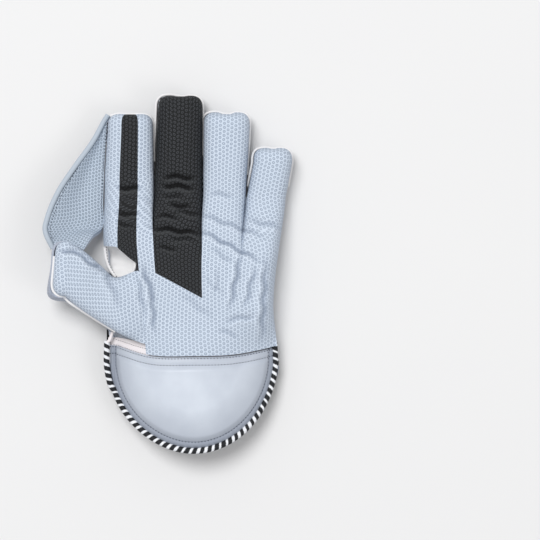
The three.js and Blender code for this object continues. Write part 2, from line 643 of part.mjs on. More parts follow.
// The thumb's outer shape with room for its cap, which trims the web where it is sewn on.
function thumbTool() {
  const rows = [0.4, 0.6, 0.8, 1, 1.35, 1.7, 2];
  const room = 2 * SEAM_GAP;
  const capRoom = CAP_WALL + 3 * SEAM_GAP;
  const top = rows.map((row) => THUMB_ANGLES.map((d) => thumbPoint(d, row, false, room)));
  const low = rows.map((row) => THUMB_ANGLES.map((d) => thumbPoint(d, row, true, room, capRoom)));
  const triangles = [];
  const quad = (a, b, c, d) => triangles.push([a, b, c], [a, c, d]);
  const last = THUMB_ANGLES.length - 1;
  for (let i = 0; i < rows.length - 1; i++)
    for (let j = 0; j < last; j++) {
      quad(top[i][j], top[i][j + 1], top[i + 1][j + 1], top[i + 1][j]);
      quad(low[i][j], low[i + 1][j], low[i + 1][j + 1], low[i][j + 1]);
    }
  for (let j = 0; j < last; j++) quad(top[0][j + 1], top[0][j], low[0][j], low[0][j + 1]);
  if (volumeOf(triangles) < 0) triangles.forEach((t) => t.reverse());
  return solid(triangles);
}

// White leather that closes the fork between the index finger and the thumb.
function gussetPoint(share, row) {
  const low = FACING_WALL + 2 * SEAM_GAP;
  const path = [
    ...[-80, -56, -30, -8, 6].map((degrees) => facingPoint({ finger: 0, degrees }, CUT - 0.02)),
    ...[0.12, 0.2, 0.3].map((s) => thumbFacingPoint(-90, s)),
  ];
  path.forEach((p) => {
    p.z -= low;
  });
  const top = new THREE.CatmullRomCurve3(path).getPoint(share);
  const y = HAND_LENGTH * lerp(0.385, 0.31, share);
  const foot = new THREE.Vector3(backSide(-1, y) + BACK_WALL / 2, y, SEAM_HEIGHT + LINING_WALL + SEAM_GAP);
  const p = foot.lerp(top, row);
  p.z -= 3 * Math.sin(Math.PI * row) * Math.sin(Math.PI * share);
  return p;
}

function crotchGusset() {
  return layer(gussetPoint, steps(0.04, 0.96, 9), steps(0, 1, 4), LINING_WALL);
}

// The catching web between the index finger and the thumb: columns run from the finger (0) to the edge (1).
function webPoint(share, at) {
  const inner = new THREE.Vector3(HAND_WIDTH * web.innerX(at), HAND_LENGTH * web.innerY(at), 0);
  const outer = new THREE.Vector3(HAND_WIDTH * web.outerX(at), HAND_LENGTH * web.outerY(at), 0);
  const p = inner.lerp(outer, share);
  const rise = web.rise(at);
  const free = ease(at, 0.78, 1);
  const height = lerp(WEB_SEAM_HEIGHT, THUMB_HEIGHT * 0.8, rise * Math.max(share ** 1.2, free));
  p.z = height - WEB_SAG * Math.sin(Math.PI * share) ** 2 * Math.sin(Math.PI * at);
  return p;
}

const WEB_ROWS = [0, 0.1, 0.2, 0.32, 0.44, 0.56, 0.68, 0.8, 0.88, 0.94, 1];
const WEB_COLUMNS = [0, 0.15, 0.35, 0.55, 0.75, 0.9, 1];

// Rolled binding over the web's outer edge.
function bindingCord(diameter, last = 0.985) {
  const points = steps(0.02, last, 14).map((at) => {
    const p = webPoint(1, at);
    const outward = new THREE.Vector3().subVectors(p, webPoint(0.9, at)).setZ(0).normalize();
    p.addScaledVector(outward, 1);
    p.z -= WEB_WALL + SEAM_GAP / 2;
    return p;
  });
  return cord(points, diameter, 28, 8);
}

function webLayer(standoff) {
  const whole = layer(webPoint, WEB_COLUMNS, WEB_ROWS, WEB_WALL, { standoff });
  return minus(minus(whole, thumbTool()), bindingCord(WEB_BINDING + 2 * SEAM_GAP, 1));
}

const LOOKS = {
  rubber: { color: 0xb9c4d2, roughness: 0.75, metalness: 0 },
  black: { color: 0x1d1f21, roughness: 0.8, metalness: 0 },
  leather: { color: 0xc3cad8, roughness: 0.45, metalness: 0 },
  white: { color: 0xf1efec, roughness: 0.8, metalness: 0 },
  lining: { color: 0xe6dcdc, roughness: 0.95, metalness: 0 },
  piping: { color: 0x5b5d60, roughness: 0.6, metalness: 0 },
};

const glove = new THREE.Group();
glove.name = "wicketkeeping_glove";

function add(name, look, geometry) {
  const mesh = new THREE.Mesh(geometry, new THREE.MeshStandardMaterial(LOOKS[look]));
  mesh.name = name;
  glove.add(mesh);
}

add("palm_facing", "rubber", palmFacing());
add("index_outer_facing", "rubber", facing((a, b, row) => strip(a, b, row, 0, -90, -STRIP_ANGLE)));
add("index_strip", "black", facing((a, b, row) => strip(a, b, row, 0, -STRIP_ANGLE, STRIP_ANGLE)));
add("middle_facing", "black", facing((a, b, row) => strip(a, b, row, 1, -90, 90)));
FINGERS.forEach(({ name }, finger) => {
  add(`${name}_back`, "leather", fingerBack(finger));
  add(`${name}_cap`, "leather", fingerCap(finger));
  add(`${name}_welt`, "white", fingerWelt(finger));
});
add("hand_back", "leather", handBack());
add("back_lining", "lining", backLining());
add("side_tab", "black", sideTab());
add("palm_cuff", "leather", cuffPanel());
add("cuff_band", "leather", cuffBand());
add("cuff_lining", "lining", cuffLining());
add("palm_cuff_piping", "piping", palmPiping());
add("back_cuff_piping", "piping", backPiping());
add("thumb_facing", "rubber", thumbFacing());
add("thumb_back", "leather", thumbBack());
add("thumb_cap", "leather", thumbCap());
add("crotch_gusset", "white", crotchGusset());
add("web_facing", "rubber", webLayer(0));
add("web_leather", "leather", webLayer(WEB_WALL + SEAM_GAP));
add("web_binding", "leather", minus(bindingCord(WEB_BINDING), thumbTool()));

export default glove;
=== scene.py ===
import math

import bmesh
import bpy
import numpy as np
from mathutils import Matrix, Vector


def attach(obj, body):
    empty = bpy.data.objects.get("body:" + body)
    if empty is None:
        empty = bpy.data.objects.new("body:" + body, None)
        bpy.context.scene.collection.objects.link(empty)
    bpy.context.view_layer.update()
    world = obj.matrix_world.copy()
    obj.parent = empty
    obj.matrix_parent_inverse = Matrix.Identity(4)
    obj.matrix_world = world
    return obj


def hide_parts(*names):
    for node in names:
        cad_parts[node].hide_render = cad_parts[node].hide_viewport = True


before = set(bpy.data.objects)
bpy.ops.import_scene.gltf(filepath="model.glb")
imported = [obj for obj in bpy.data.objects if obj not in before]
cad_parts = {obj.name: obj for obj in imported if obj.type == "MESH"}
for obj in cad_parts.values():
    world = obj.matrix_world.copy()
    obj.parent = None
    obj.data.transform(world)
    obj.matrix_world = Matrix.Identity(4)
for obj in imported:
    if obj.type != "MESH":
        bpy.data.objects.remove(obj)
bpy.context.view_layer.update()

# Palm and thumb facing: one sheet of pimpled rubber on soft leather, which covers the palm, the ring
# and little fingers, the index finger's inner band and the thumb. It is stretched over the padded hand
# and creases where the hand bends. All sizes are millimetres, turned to metres where a mesh is made.
MM = 0.001
HAND_WIDTH = 154
HAND_LENGTH = 210
SEAM_HEIGHT = 12
FINGER_CROWN = 17
PALM_CROWN = 30
CROTCH_RISE = 3
TIP_LIFT = 3
TIP_ROUND = 12
FACING_WALL = 1.8
SEAM_GAP = 0.3
CUFF_WIDTH = 135
CUFF_LENGTH = 86
CUFF_EDGE = 20
CUFF_RISE = 26
THUMB_HEIGHT = 40
THUMB_CROWN = 14
THUMB_DEPTH = 20
THUMB_ROUND = 13
THUMB_BULGE = 9  # swell of the thumb's back past its outer seam
THUMB_TRIM = 3.0  # how much shorter the facing is than the back at the tip
STRIP_ANGLE = 12.5  # half the black strip on the index finger, as a section angle
SEAM = 0.35  # half a seam's gap as a section angle
SEAM_ROW = 0.003  # the same as a row
WRIST, CUT, CROTCH, TIP_START, TIP = 0, 1, 2, 3, 4
UP = (0, 0, 1)
DOWN = (0, 0, -1)

# Edges of the fingers at the crotch and the tip as shares of the hand's width, tips of its length.
FINGERS = [
    dict(name="index", left=-0.491, right=-0.221, tip_left=-0.472, tip_right=-0.226, tip=0.926),
    dict(name="middle", left=-0.216, right=0.043, tip_left=-0.197, tip_right=0.045, tip=1.0),
    dict(name="ring", left=0.048, right=0.28, tip_left=0.051, tip_right=0.303, tip=0.933),
    dict(name="little", left=0.287, right=0.5, tip_left=0.325, tip_right=0.535, tip=0.79),
]
# Outline of the palm: at is a share of the hand's length, left and right of its width.
PALM_OUTLINE = [
    dict(at=-0.05, left=-0.42, right=0.455),
    dict(at=0.0, left=-0.426, right=0.452),
    dict(at=0.15, left=-0.449, right=0.433),
    dict(at=0.26, left=-0.471, right=0.441),
    dict(at=0.4, left=-0.496, right=0.466),
    dict(at=0.59, left=-0.491, right=0.5),
    dict(at=0.7, left=-0.491, right=0.5),
]
# Where the black strips end (cut) and the fingers part (crotch), as shares of the hand's length.
PALM_LINES = [
    dict(at=0.0, cut=0.395, crotch=0.676),
    dict(at=0.08, cut=0.392, crotch=0.676),
    dict(at=0.145, cut=0.345, crotch=0.676),
    dict(at=0.185, cut=0.321, crotch=0.676),
    dict(at=0.54, cut=0.19, crotch=0.676),
    dict(at=0.78, cut=0.225, crotch=0.592),
    dict(at=1.0, cut=0.26, crotch=0.59),
]
# The seam between the palm and the cuff: at is a share of the cuff's width, y of its length.
WRIST_LINE = [
    dict(at=-0.5, y=0.0),
    dict(at=-0.27, y=-0.1),
    dict(at=0.0, y=-0.108),
    dict(at=0.25, y=-0.095),
    dict(at=0.45, y=-0.04),
    dict(at=0.5, y=-0.02),
]
# Thumb sections from the palm to the tip: seams as shares of the hand's width and length, their heights
# as shares of the thumb's height, and its crown and depth as shares of theirs.
THUMB = [
    dict(at=0, inner_x=-0.33, inner_y=0.325, outer_x=-0.28, outer_y=0, inner_z=0.9, outer_z=0.9,
         crown=0.5, depth=1),
    dict(at=0.25, inner_x=-0.419, inner_y=0.269, outer_x=-0.385, outer_y=0.038, inner_z=0.84,
         outer_z=0.86, crown=0.85, depth=1),
    dict(at=0.5, inner_x=-0.505, inner_y=0.318, outer_x=-0.513, outer_y=0.095, inner_z=0.82,
         outer_z=0.82, crown=1, depth=1),
    dict(at=0.75, inner_x=-0.59, inner_y=0.372, outer_x=-0.615, outer_y=0.145, inner_z=0.88,
         outer_z=0.92, crown=1, depth=1),
    dict(at=1, inner_x=-0.682, inner_y=0.415, outer_x=-0.7, outer_y=0.195, inner_z=0.95,
         outer_z=1.08, crown=0.8, depth=0.85),
]
# Creases that use has pressed into the rubber: both ends as shares of the hand's width and length,
# with the width and depth of the fold in millimetres.
CREASES = [
    dict(x=0.03, y=0.525, to_x=0.37, to_y=0.435, width=1.9, depth=1.3),
    dict(x=0.03, y=0.46, to_x=0.36, to_y=0.335, width=1.7, depth=1.9),
    dict(x=0.1, y=0.385, to_x=0.21, to_y=0.33, width=2.0, depth=0.9),
    dict(x=0.255, y=0.36, to_x=0.2, to_y=0.155, width=2.0, depth=1.7),
    dict(x=0.335, y=0.31, to_x=0.28, to_y=0.16, width=1.9, depth=1.4),
    dict(x=0.39, y=0.33, to_x=0.37, to_y=0.03, width=2.5, depth=1.7),
    dict(x=0.18, y=0.1, to_x=0.32, to_y=0.115, width=2.2, depth=1.1),
    dict(x=0.14, y=0.06, to_x=0.24, to_y=0.035, width=2.0, depth=0.9),
    dict(x=-0.06, y=0.2, to_x=0.1, to_y=0.11, width=2.8, depth=0.6),
    dict(x=-0.275, y=0.31, to_x=-0.215, to_y=0.18, width=2.2, depth=1.9),
    dict(x=-0.225, y=0.2, to_x=-0.215, to_y=0.06, width=2.0, depth=1.7),
    dict(x=-0.3, y=0.27, to_x=-0.265, to_y=0.12, width=2.2, depth=1.0),
    dict(x=0.09, y=0.605, to_x=0.21, to_y=0.597, width=2.0, depth=1.0),
    dict(x=0.3, y=0.5, to_x=0.47, to_y=0.47, width=2.2, depth=1.1),
    dict(x=-0.16, y=0.675, to_x=-0.0, to_y=0.668, width=1.7, depth=2.6),
    dict(x=-0.17, y=0.638, to_x=-0.005, to_y=0.63, width=1.7, depth=2.7),
    dict(x=-0.13, y=0.562, to_x=-0.02, to_y=0.552, width=1.6, depth=2.3),
    dict(x=-0.2, y=0.516, to_x=-0.09, to_y=0.513, width=1.5, depth=1.9),
    dict(x=-0.215, y=0.468, to_x=0.03, to_y=0.446, width=1.7, depth=2.8),
    dict(x=-0.19, y=0.39, to_x=-0.09, to_y=0.385, width=1.5, depth=1.6),
    dict(x=-0.42, y=0.63, to_x=-0.29, to_y=0.625, width=1.7, depth=2.3),
    dict(x=-0.42, y=0.53, to_x=-0.3, to_y=0.52, width=1.7, depth=1.9),
    dict(x=-0.53, y=0.36, to_x=-0.44, to_y=0.3, width=1.9, depth=1.4),
    dict(x=-0.48, y=0.3, to_x=-0.4, to_y=0.16, width=2.8, depth=1.0),
    dict(x=-0.718, y=0.379, to_x=-0.62, to_y=0.362, width=1.6, depth=2.0),
    dict(x=-0.63, y=0.364, to_x=-0.5, to_y=0.3, width=1.6, depth=2.0),
    dict(x=-0.56, y=0.3, to_x=-0.49, to_y=0.335, width=1.3, depth=0.7),
    dict(x=-0.53, y=0.28, to_x=-0.46, to_y=0.315, width=1.3, depth=0.8),
    dict(x=-0.5, y=0.26, to_x=-0.43, to_y=0.29, width=1.3, depth=0.7),
    dict(x=-0.17, y=0.6, to_x=-0.06, to_y=0.59, width=1.5, depth=1.4),
    dict(x=-0.1, y=0.535, to_x=0.03, to_y=0.525, width=1.6, depth=1.5),
    dict(x=-0.12, y=0.43, to_x=-0.0, to_y=0.42, width=1.6, depth=1.2),
    dict(x=-0.42, y=0.49, to_x=-0.33, to_y=0.475, width=1.4, depth=1.4),
    dict(x=-0.28, y=0.585, to_x=-0.22, to_y=0.57, width=1.4, depth=0.7),
    dict(x=0.06, y=0.27, to_x=0.16, to_y=0.2, width=1.6, depth=0.6),
    dict(x=0.13, y=0.3, to_x=0.12, to_y=0.2, width=1.6, depth=0.7),
]


def clamp(x, low=0.0, high=1.0):
    return max(low, min(high, x))


def lerp(a, b, t):
    return a + (b - a) * t


def ease(x, low, high):
    t = clamp((x - low) / (high - low))
    return t * t * (3 - 2 * t)


def soft(x):
    return math.copysign(abs(x) ** (2 / 3), x)


def across(degrees):
    return soft(math.sin(math.radians(degrees)))


def above(degrees):
    return soft(max(0.0, math.cos(math.radians(degrees))))


def column(rows, name, smooth=True):
    """The curve, or the straight stretches, through one named column of a table."""
    at = [row["at"] for row in rows]
    values = [row[name] for row in rows]

    def value(x):
        if x <= at[0]:
            return values[0]
        if x >= at[-1]:
            return values[-1]
        i = next(k for k in range(1, len(at)) if x < at[k])
        t = (x - at[i - 1]) / (at[i] - at[i - 1])
        if not smooth:
            return lerp(values[i - 1], values[i], t)
        half = (at[i] - at[i - 1]) / 2
        first, last = i == 1, i == len(at) - 1
        before = -0.5 if first else half / (at[i - 1] - at[i - 2])
        after = -0.5 if last else half / (at[i + 1] - at[i])
        v_before = values[i] if first else values[i - 2]
        v_after = values[i - 1] if last else values[i + 1]
        return (
            v_before * before * (-t**3 + 2 * t**2 - t)
            + values[i - 1] * ((1 + before) * t**3 - (1.5 + 2 * before) * t**2 + (before - 0.5) * t + 1)
            + values[i] * ((-1 - after) * t**3 + (1.5 + after) * t**2 + 0.5 * t)
            + v_after * after * (t**3 - t**2)
        )

    return value


def columns(rows, smooth=True):
    return {name: column(rows, name, smooth) for name in rows[0] if name != "at"}


palm_outline = columns(PALM_OUTLINE)
palm_lines = columns(PALM_LINES, smooth=False)
wrist_line = columns(WRIST_LINE)
thumb_table = columns(THUMB)


def arch_height(x):
    share = clamp(2 * x / CUFF_WIDTH, -1, 1)
    return CUFF_EDGE + CUFF_RISE * (1 - share * share)


def wrist_y(x):
    return CUFF_LENGTH * wrist_line["y"](clamp(x / CUFF_WIDTH, -0.5, 0.5))


def share_of(finger, degrees):
    left, right = FINGERS[finger]["left"], FINGERS[finger]["right"]
    x = (left + right) / 2 + (right - left) / 2 * across(degrees)
    return (x - FINGERS[0]["left"]) / (FINGERS[-1]["right"] - FINGERS[0]["left"])


BAND_DRIFT = 2.9  # how far the bands stray to the little finger side, low in the palm


def palm_x(share, y):
    at = y / HAND_LENGTH
    drift = BAND_DRIFT * ease(share, 0.06, 0.3) * (1 - ease(share, 0.55, 0.95))
    drift *= ease(at, 0, 0.16) * (1 - ease(at, 0.36, 0.56))
    return drift + HAND_WIDTH * lerp(palm_outline["left"](at), palm_outline["right"](at), share)


def is_outer(finger, degrees):
    return (finger == 0 and degrees < 0) or (finger == len(FINGERS) - 1 and degrees > 0)


def seam_height(row):
    return SEAM_HEIGHT + TIP_LIFT * clamp(row - CROTCH)


def finger_section(finger, row):
    """Shares of the way up a finger and round its tip, and the middle and half width of its section."""
    shape = FINGERS[finger]
    along = clamp(row - CROTCH)
    turn = math.radians(90 * clamp(row - TIP_START))
    left = HAND_WIDTH * lerp(shape["left"], shape["tip_left"], along)
    right = HAND_WIDTH * lerp(shape["right"], shape["tip_right"], along)
    ahead, lying = soft(math.sin(turn)), soft(max(0.0, math.cos(turn)))
    return along, ahead, lying, (left + right) / 2, (right - left) / 2


def finger_y(finger, start, along):
    """Place along the hand on the straight part of a finger, up to where its tip turns."""
    return lerp(start, HAND_LENGTH * FINGERS[finger]["tip"] - TIP_ROUND, along)


def plain_facing_point(finger, degrees, row):
    """A point of the rubber, from the wrist through the palm to the crotches, then up each finger."""
    share = share_of(finger, degrees)
    crotch_y = HAND_LENGTH * palm_lines["crotch"](share)
    gape = CROTCH_RISE / FINGER_CROWN
    outer = is_outer(finger, degrees)
    if row > CROTCH:
        along, ahead, lying, middle, half = finger_section(finger, row)
        half -= TIP_ROUND * (1 - lying)
        y = finger_y(finger, crotch_y, along) + TIP_ROUND * ahead
        fade = 0 if outer else gape * (1 - ease(row, CROTCH, CROTCH + 0.2))
        rise = lerp(above(degrees), 1, fade) * (0 if row == TIP else lying)
        return middle + half * across(degrees), y, seam_height(row) + FINGER_CROWN * rise
    cut_y = HAND_LENGTH * palm_lines["cut"](share)
    start = wrist_y(palm_x(share, wrist_y(palm_x(share, 0))))
    y = lerp(cut_y, crotch_y, row - CUT) if row > CUT else lerp(start, cut_y, row)
    x = palm_x(share, y)
    crown = lerp(PALM_CROWN, FINGER_CROWN, ease(row, CUT + 0.1, CROTCH))
    valley = 1 if outer else (1 - gape) * ease(row, CUT + 0.3, CROTCH)
    height = SEAM_HEIGHT + crown * (1 - valley * (1 - above(degrees)))
    hem = 2 * SEAM_GAP * (1 - clamp(row / 0.25))
    return x, y + hem, lerp(arch_height(x), height, ease(row, WRIST, 0.7))


CREASE_WAVER = (0.9, 0.35)  # how far a crease strays to each side, and its turn for each millimetre
CREASE_RIDGE = 0.45  # height of the ridges beside a crease, as a share of its depth


def crease_drop(x, y):
    """How deep the creases press the rubber in at a place on the hand."""
    drop = 0.0
    for fold in CREASES:
        ax, ay = fold["x"] * HAND_WIDTH, fold["y"] * HAND_LENGTH
        bx, by = fold["to_x"] * HAND_WIDTH - ax, fold["to_y"] * HAND_LENGTH - ay
        length = math.hypot(bx, by)
        along = ((x - ax) * bx + (y - ay) * by) / length**2
        if not -0.3 < along < 1.3:
            continue
        beside = ((x - ax) * by - (y - ay) * bx) / length
        beside += CREASE_WAVER[0] * math.sin(CREASE_WAVER[1] * along * length + 9 * ax)
        if abs(beside) > 4 * fold["width"]:
            continue
        fade = ease(along, -0.2, 0.3) * (1 - ease(along, 0.7, 1.2))
        near = beside / fold["width"]
        ridge = CREASE_RIDGE * math.exp(-((near - 1.7) ** 2))
        drop += fold["depth"] * fade * (math.exp(-near * near) - ridge)
    return drop


TIP_DIPS = (0.4, 0.8, 1.7, 0.8)  # how far the leather sinks in at the middle of each fingertip


def facing_point(finger, degrees, row):
    x, y, z = plain_facing_point(finger, degrees, row)
    dip = TIP_DIPS[finger] * ease(row, TIP_START, TIP) * math.cos(math.radians(degrees)) ** 4
    return x, y - dip, z - crease_drop(x, y) * (1 - clamp(row - TIP_START))


def folds(points):
    """How deep each point of a grid lies in the creases; the ridges beside them are below 0."""
    return np.array([[crease_drop(p[0], p[1]) for p in line] for line in points])


def even_angles(count, low, high, breaks=()):
    """Section angles that lie evenly along the rounded square section, with some of them given."""
    fine = np.linspace(0, 90, 9001)
    x = np.sin(np.radians(fine)) ** (2 / 3)
    z = np.cos(np.radians(fine)).clip(0) ** (2 / 3)
    run = np.concatenate([[0], np.cumsum(np.hypot(np.diff(x), np.diff(z)))])
    side = np.interp(np.linspace(0, run[-1], count // 2 + 1), run, fine)
    angles = [a for a in np.concatenate([-side[:0:-1], side]) if low < a < high]
    angles = [a for a in angles if all(abs(a - b) > 0.5 for b in breaks)]
    return sorted([low, high, *breaks, *angles])


def turned_rows(start, count):
    """Rows that go on past a row for a quarter turn, evenly along the rounded end."""
    return [start + angle / 90 for angle in even_angles(count, 0, 90)[1:]]


def grid(point, rows):
    return np.array([[p for p in point(row)] for row in rows], dtype=float)


def steps(low, high, count):
    return [lerp(low, high, i / count) for i in range(count + 1)]


def length_run(path):
    """Length along a path, from its first point."""
    return np.concatenate([[0], np.cumsum(np.linalg.norm(np.diff(path, axis=0), axis=1))])


def lengths(points, axis):
    """Length along the rows or columns of a grid of points, from its first one."""
    run = np.cumsum(np.linalg.norm(np.diff(points, axis=axis), axis=2), axis=axis)
    return np.concatenate([np.zeros_like(np.take(run, [0], axis)), run], axis)


def patch(points, uv=None, present=None, rim=None, fold=None):
    """A grid of points with its place on the flat sheet and its cells. rim is how far each point lies
    from an edge, and fold how deep it lies in a crease."""
    if uv is None:
        uv = np.stack([lengths(points, 1), lengths(points, 0)], axis=2)
    if rim is None:
        rim = np.full(points.shape[:2], 40.0)
    if fold is None:
        fold = np.zeros(points.shape[:2])
    return dict(points=points, uv=uv, present=present or (lambda i, j: True), rim=rim, fold=fold)


def normals(points, outside):
    course = np.gradient(points, axis=1)
    rise = np.gradient(points, axis=0)
    normal = np.cross(course, rise)
    normal /= np.linalg.norm(normal, axis=2, keepdims=True) + 1e-12
    return normal * np.sign((normal @ np.array(outside, dtype=float)).sum())


def behind(points, distance, outside):
    return points - normals(points, outside) * distance


def new_object(name, mesh):
    piece = bpy.data.objects.new(name, mesh)
    bpy.context.scene.collection.objects.link(piece)
    return piece


def made_mesh(name, bm):
    mesh = bpy.data.meshes.new(name)
    bm.to_mesh(mesh)
    bm.free()
    return mesh


def settle(piece):
    """Turns a piece with its modifiers into a plain mesh."""
    bpy.context.view_layer.update()
    graph = bpy.context.evaluated_depsgraph_get()
    mesh = bpy.data.meshes.new_from_object(piece.evaluated_get(graph))
    piece.modifiers.clear()
    piece.data = mesh


def sewn(name, patches, wall, material, outside=UP, bevel=0.35):
    """A sheet of material, wall thick behind its outer face, from one or more patches that meet."""
    bm = bmesh.new()
    uv_layer = bm.loops.layers.uv.new("sheet")
    rim_layer = bm.verts.layers.float.new("rim")
    fold_layer = bm.verts.layers.float.new("fold")
    for part in patches:
        points, uv, rim, fold = part["points"], part["uv"], part["rim"], part["fold"]
        course = np.cross(np.gradient(points, axis=1), np.gradient(points, axis=0))
        flip = (course @ np.array(outside, dtype=float)).sum() < 0
        made = {}
        rows, cols = points.shape[:2]
        for i in range(rows - 1):
            for j in range(cols - 1):
                if not part["present"](i, j):
                    continue
                corners = [(i, j), (i, j + 1), (i + 1, j + 1), (i + 1, j)]
                for at in corners:
                    if at not in made:
                        made[at] = bm.verts.new(Vector(points[at]) * MM)
                        made[at][rim_layer] = rim[at]
                        made[at][fold_layer] = fold[at]
                corners = corners[::-1] if flip else corners
                face = bm.faces.new([made[at] for at in corners])
                face.smooth = True
                for loop, at in zip(face.loops, corners):
                    loop[uv_layer].uv = uv[at]
    bmesh.ops.remove_doubles(bm, verts=bm.verts, dist=0.02 * MM)
    mesh = made_mesh(name, bm)
    piece = new_object(name, mesh)
    mesh.materials.append(material)
    thick = piece.modifiers.new("wall", "SOLIDIFY")
    thick.thickness = wall * MM
    thick.offset = -1
    thick.use_quality_normals = True
    if bevel:
        edge = piece.modifiers.new("edge", "BEVEL")
        edge.width = bevel * MM
        edge.segments = 2
        edge.limit_method = "ANGLE"
        edge.angle_limit = math.radians(55)
        edge.use_clamp_overlap = True
    settle(piece)
    piece.data.set_sharp_from_angle(angle=math.radians(60))
    return piece


def fitted(piece, slot, *nodes):
    """Gives the piece to the glove's one body and hides the CAD solids it stands for."""
    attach(piece, "root")
    if nodes:
        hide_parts(*nodes)


class Value:
    """A shader socket that takes part in sums: each step adds its Math node."""

    def __init__(self, tree, socket):
        self.tree = tree
        self.socket = socket

    def maths(self, operation, *terms, clamped=False):
        node = self.tree.nodes.new("ShaderNodeMath")
        node.operation = operation
        node.use_clamp = clamped
        for socket, term in zip(node.inputs, terms):
            if isinstance(term, Value):
                self.tree.links.new(term.socket, socket)
            else:
                socket.default_value = term
        return Value(self.tree, node.outputs[0])

    def __add__(self, other):
        return self.maths("ADD", self, other)

    def __radd__(self, other):
        return self.maths("ADD", other, self)

    def __sub__(self, other):
        return self.maths("SUBTRACT", self, other)

    def __rsub__(self, other):
        return self.maths("SUBTRACT", other, self)

    def __mul__(self, other):
        return self.maths("MULTIPLY", self, other)

    def __rmul__(self, other):
        return self.maths("MULTIPLY", other, self)

    def __truediv__(self, other):
        return self.maths("DIVIDE", self, other)

    def __pow__(self, other):
        return self.maths("POWER", self, other)

    def floor(self):
        return self.maths("FLOOR", self)

    def fraction(self):
        return self.maths("FRACT", self)

    def size(self):
        return self.maths("ABSOLUTE", self)

    def wave(self):
        return self.maths("SINE", self)

    def held(self):
        return self.maths("ADD", self, 0.0, clamped=True)

    def above(self, level, blur):
        """0 below the level and 1 above it, with a soft change between."""
        return ((self - level) / blur + 0.5).held()


class Finish:
    """A material of nodes round one Principled shader."""

    def __init__(self, name, **shader):
        self.material = bpy.data.materials.new(name)
        self.material.use_nodes = True
        self.tree = self.material.node_tree
        self.shader = self.tree.nodes["Principled BSDF"]
        for socket, value in shader.items():
            self.shader.inputs[socket.replace("_", " ")].default_value = value

    def node(self, kind, settings=None, inputs=None, output=0):
        node = self.tree.nodes.new(kind)
        for name, value in (settings or {}).items():
            setattr(node, name, value)
        for name, value in (inputs or {}).items():
            self.feed(node.inputs[name], value)
        return Value(self.tree, node.outputs[output])

    def feed(self, socket, value):
        if isinstance(value, Value):
            self.tree.links.new(value.socket, socket)
        else:
            socket.default_value = value

    def sheet(self):
        """Across and along the flat sheet, in millimetres."""
        uv = self.node("ShaderNodeUVMap", {"uv_map": "sheet"})
        return uv, *self.split(uv)

    def place(self):
        """Place on the object, in millimetres."""
        spot = self.node("ShaderNodeTexCoord", output="Object")
        return self.node("ShaderNodeVectorMath", {"operation": "SCALE"}, {0: spot, "Scale": 1000.0})

    def split(self, vector):
        axes = self.tree.nodes.new("ShaderNodeSeparateXYZ")
        self.tree.links.new(vector.socket, axes.inputs[0])
        return Value(self.tree, axes.outputs[0]), Value(self.tree, axes.outputs[1])

    def noise(self, vector, scale, detail=3.0):
        inputs = {"Vector": vector, "Scale": scale, "Detail": detail}
        return self.node("ShaderNodeTexNoise", {}, inputs)

    def mark(self, name):
        """A number that the piece carries at each of its points, such as its distance from an edge."""
        return self.node("ShaderNodeAttribute", {"attribute_name": name}, output="Fac")

    def blend(self, factor, first, second):
        """Mixes two colours."""
        node = self.tree.nodes.new("ShaderNodeMix")
        node.data_type = "RGBA"
        for index, value in zip((0, 6, 7), (factor, first, second)):
            self.feed(node.inputs[index], value)
        return Value(self.tree, node.outputs[2])

    def set(self, **values):
        for name, value in values.items():
            self.feed(self.shader.inputs[name.replace("_", " ")], value)

    def bump(self, height, distance, strength):
        inputs = {"Height": height, "Distance": distance * MM, "Strength": strength}
        self.set(Normal=self.node("ShaderNodeBump", {}, inputs))


def colour(red, green, blue):
    """A colour given in the photograph's 0 to 255 numbers."""
    parts = [value / 255 for value in (red, green, blue)]
    return *[p / 12.92 if p <= 0.04045 else ((p + 0.055) / 1.055) ** 2.4 for p in parts], 1.0


PIMPLE_ACROSS = 3.2  # pimples stand in columns this far apart
PIMPLE_ALONG = 3.4  # and this far apart in a column, each column half a step on
PIMPLE_TOP = 0.32  # radius of a pimple's top
PIMPLE_RING = 0.84  # radius of the ring that surrounds it
PIMPLE_WALL = 0.52  # half the width of the ring


def pimples(finish, ring_shade_tone, ground, worn, deep, painted_fold_highlight, size=1.0, share=0.2):
    """Rows of round pimples in rubber. ring_shade_tone is the colour of each one's ring, painted shade of
    the groove round its top; ground that between them; worn that of rubbed patches; deep, painted shade
    inside a crease; and crest, by its share, a painted highlight on a fold's top."""
    uv, x, y = finish.sheet()
    drift = finish.noise(uv, 0.12, 2.0)
    x = x + (drift - 0.5) * 1.6
    lane = x / (PIMPLE_ACROSS * size)
    beside = (lane.fraction() - 0.5) * (PIMPLE_ACROSS * size)
    step = y / (PIMPLE_ALONG * size) + lane.floor() * 0.5
    along = (step.fraction() - 0.5) * (PIMPLE_ALONG * size)
    reach = (beside * beside + along * along) ** 0.5
    top = 1 - reach.above(PIMPLE_TOP * size, 0.4)
    ring = (1 - ((reach - PIMPLE_RING * size).size() / (PIMPLE_WALL * size))).held()
    ring = ring * ring * (3 - 2 * ring)
    patchy = finish.noise(uv, 0.05, 4.0)
    grain = finish.noise(uv, 1.7, 2.0)
    # Painted shade: the ring round each pimple is darkened as the shadow in the groove round its top.
    tone = (1.05 - ring * 0.95 - grain * 0.25).held()
    base = finish.blend(tone, ring_shade_tone, ground)
    base = finish.blend(((patchy - 0.42) * 2.0).held() * 0.35, base, worn)
    # Painted shade inside the creases and painted highlight on the tops of the folds beside them, from how
    # deep each point lies in a crease.
    fold = finish.mark("fold")
    base = finish.blend((fold * -1.4).held() * share, base, painted_fold_highlight)
    finish.set(Base_Color=finish.blend((fold * 0.55).held() * 0.85, base, deep))
    finish.set(Roughness=(0.8 - top * 0.2).held())
    finish.bump(top * 0.7 + ring * 0.5 + grain * 0.2, 0.5, 0.85)


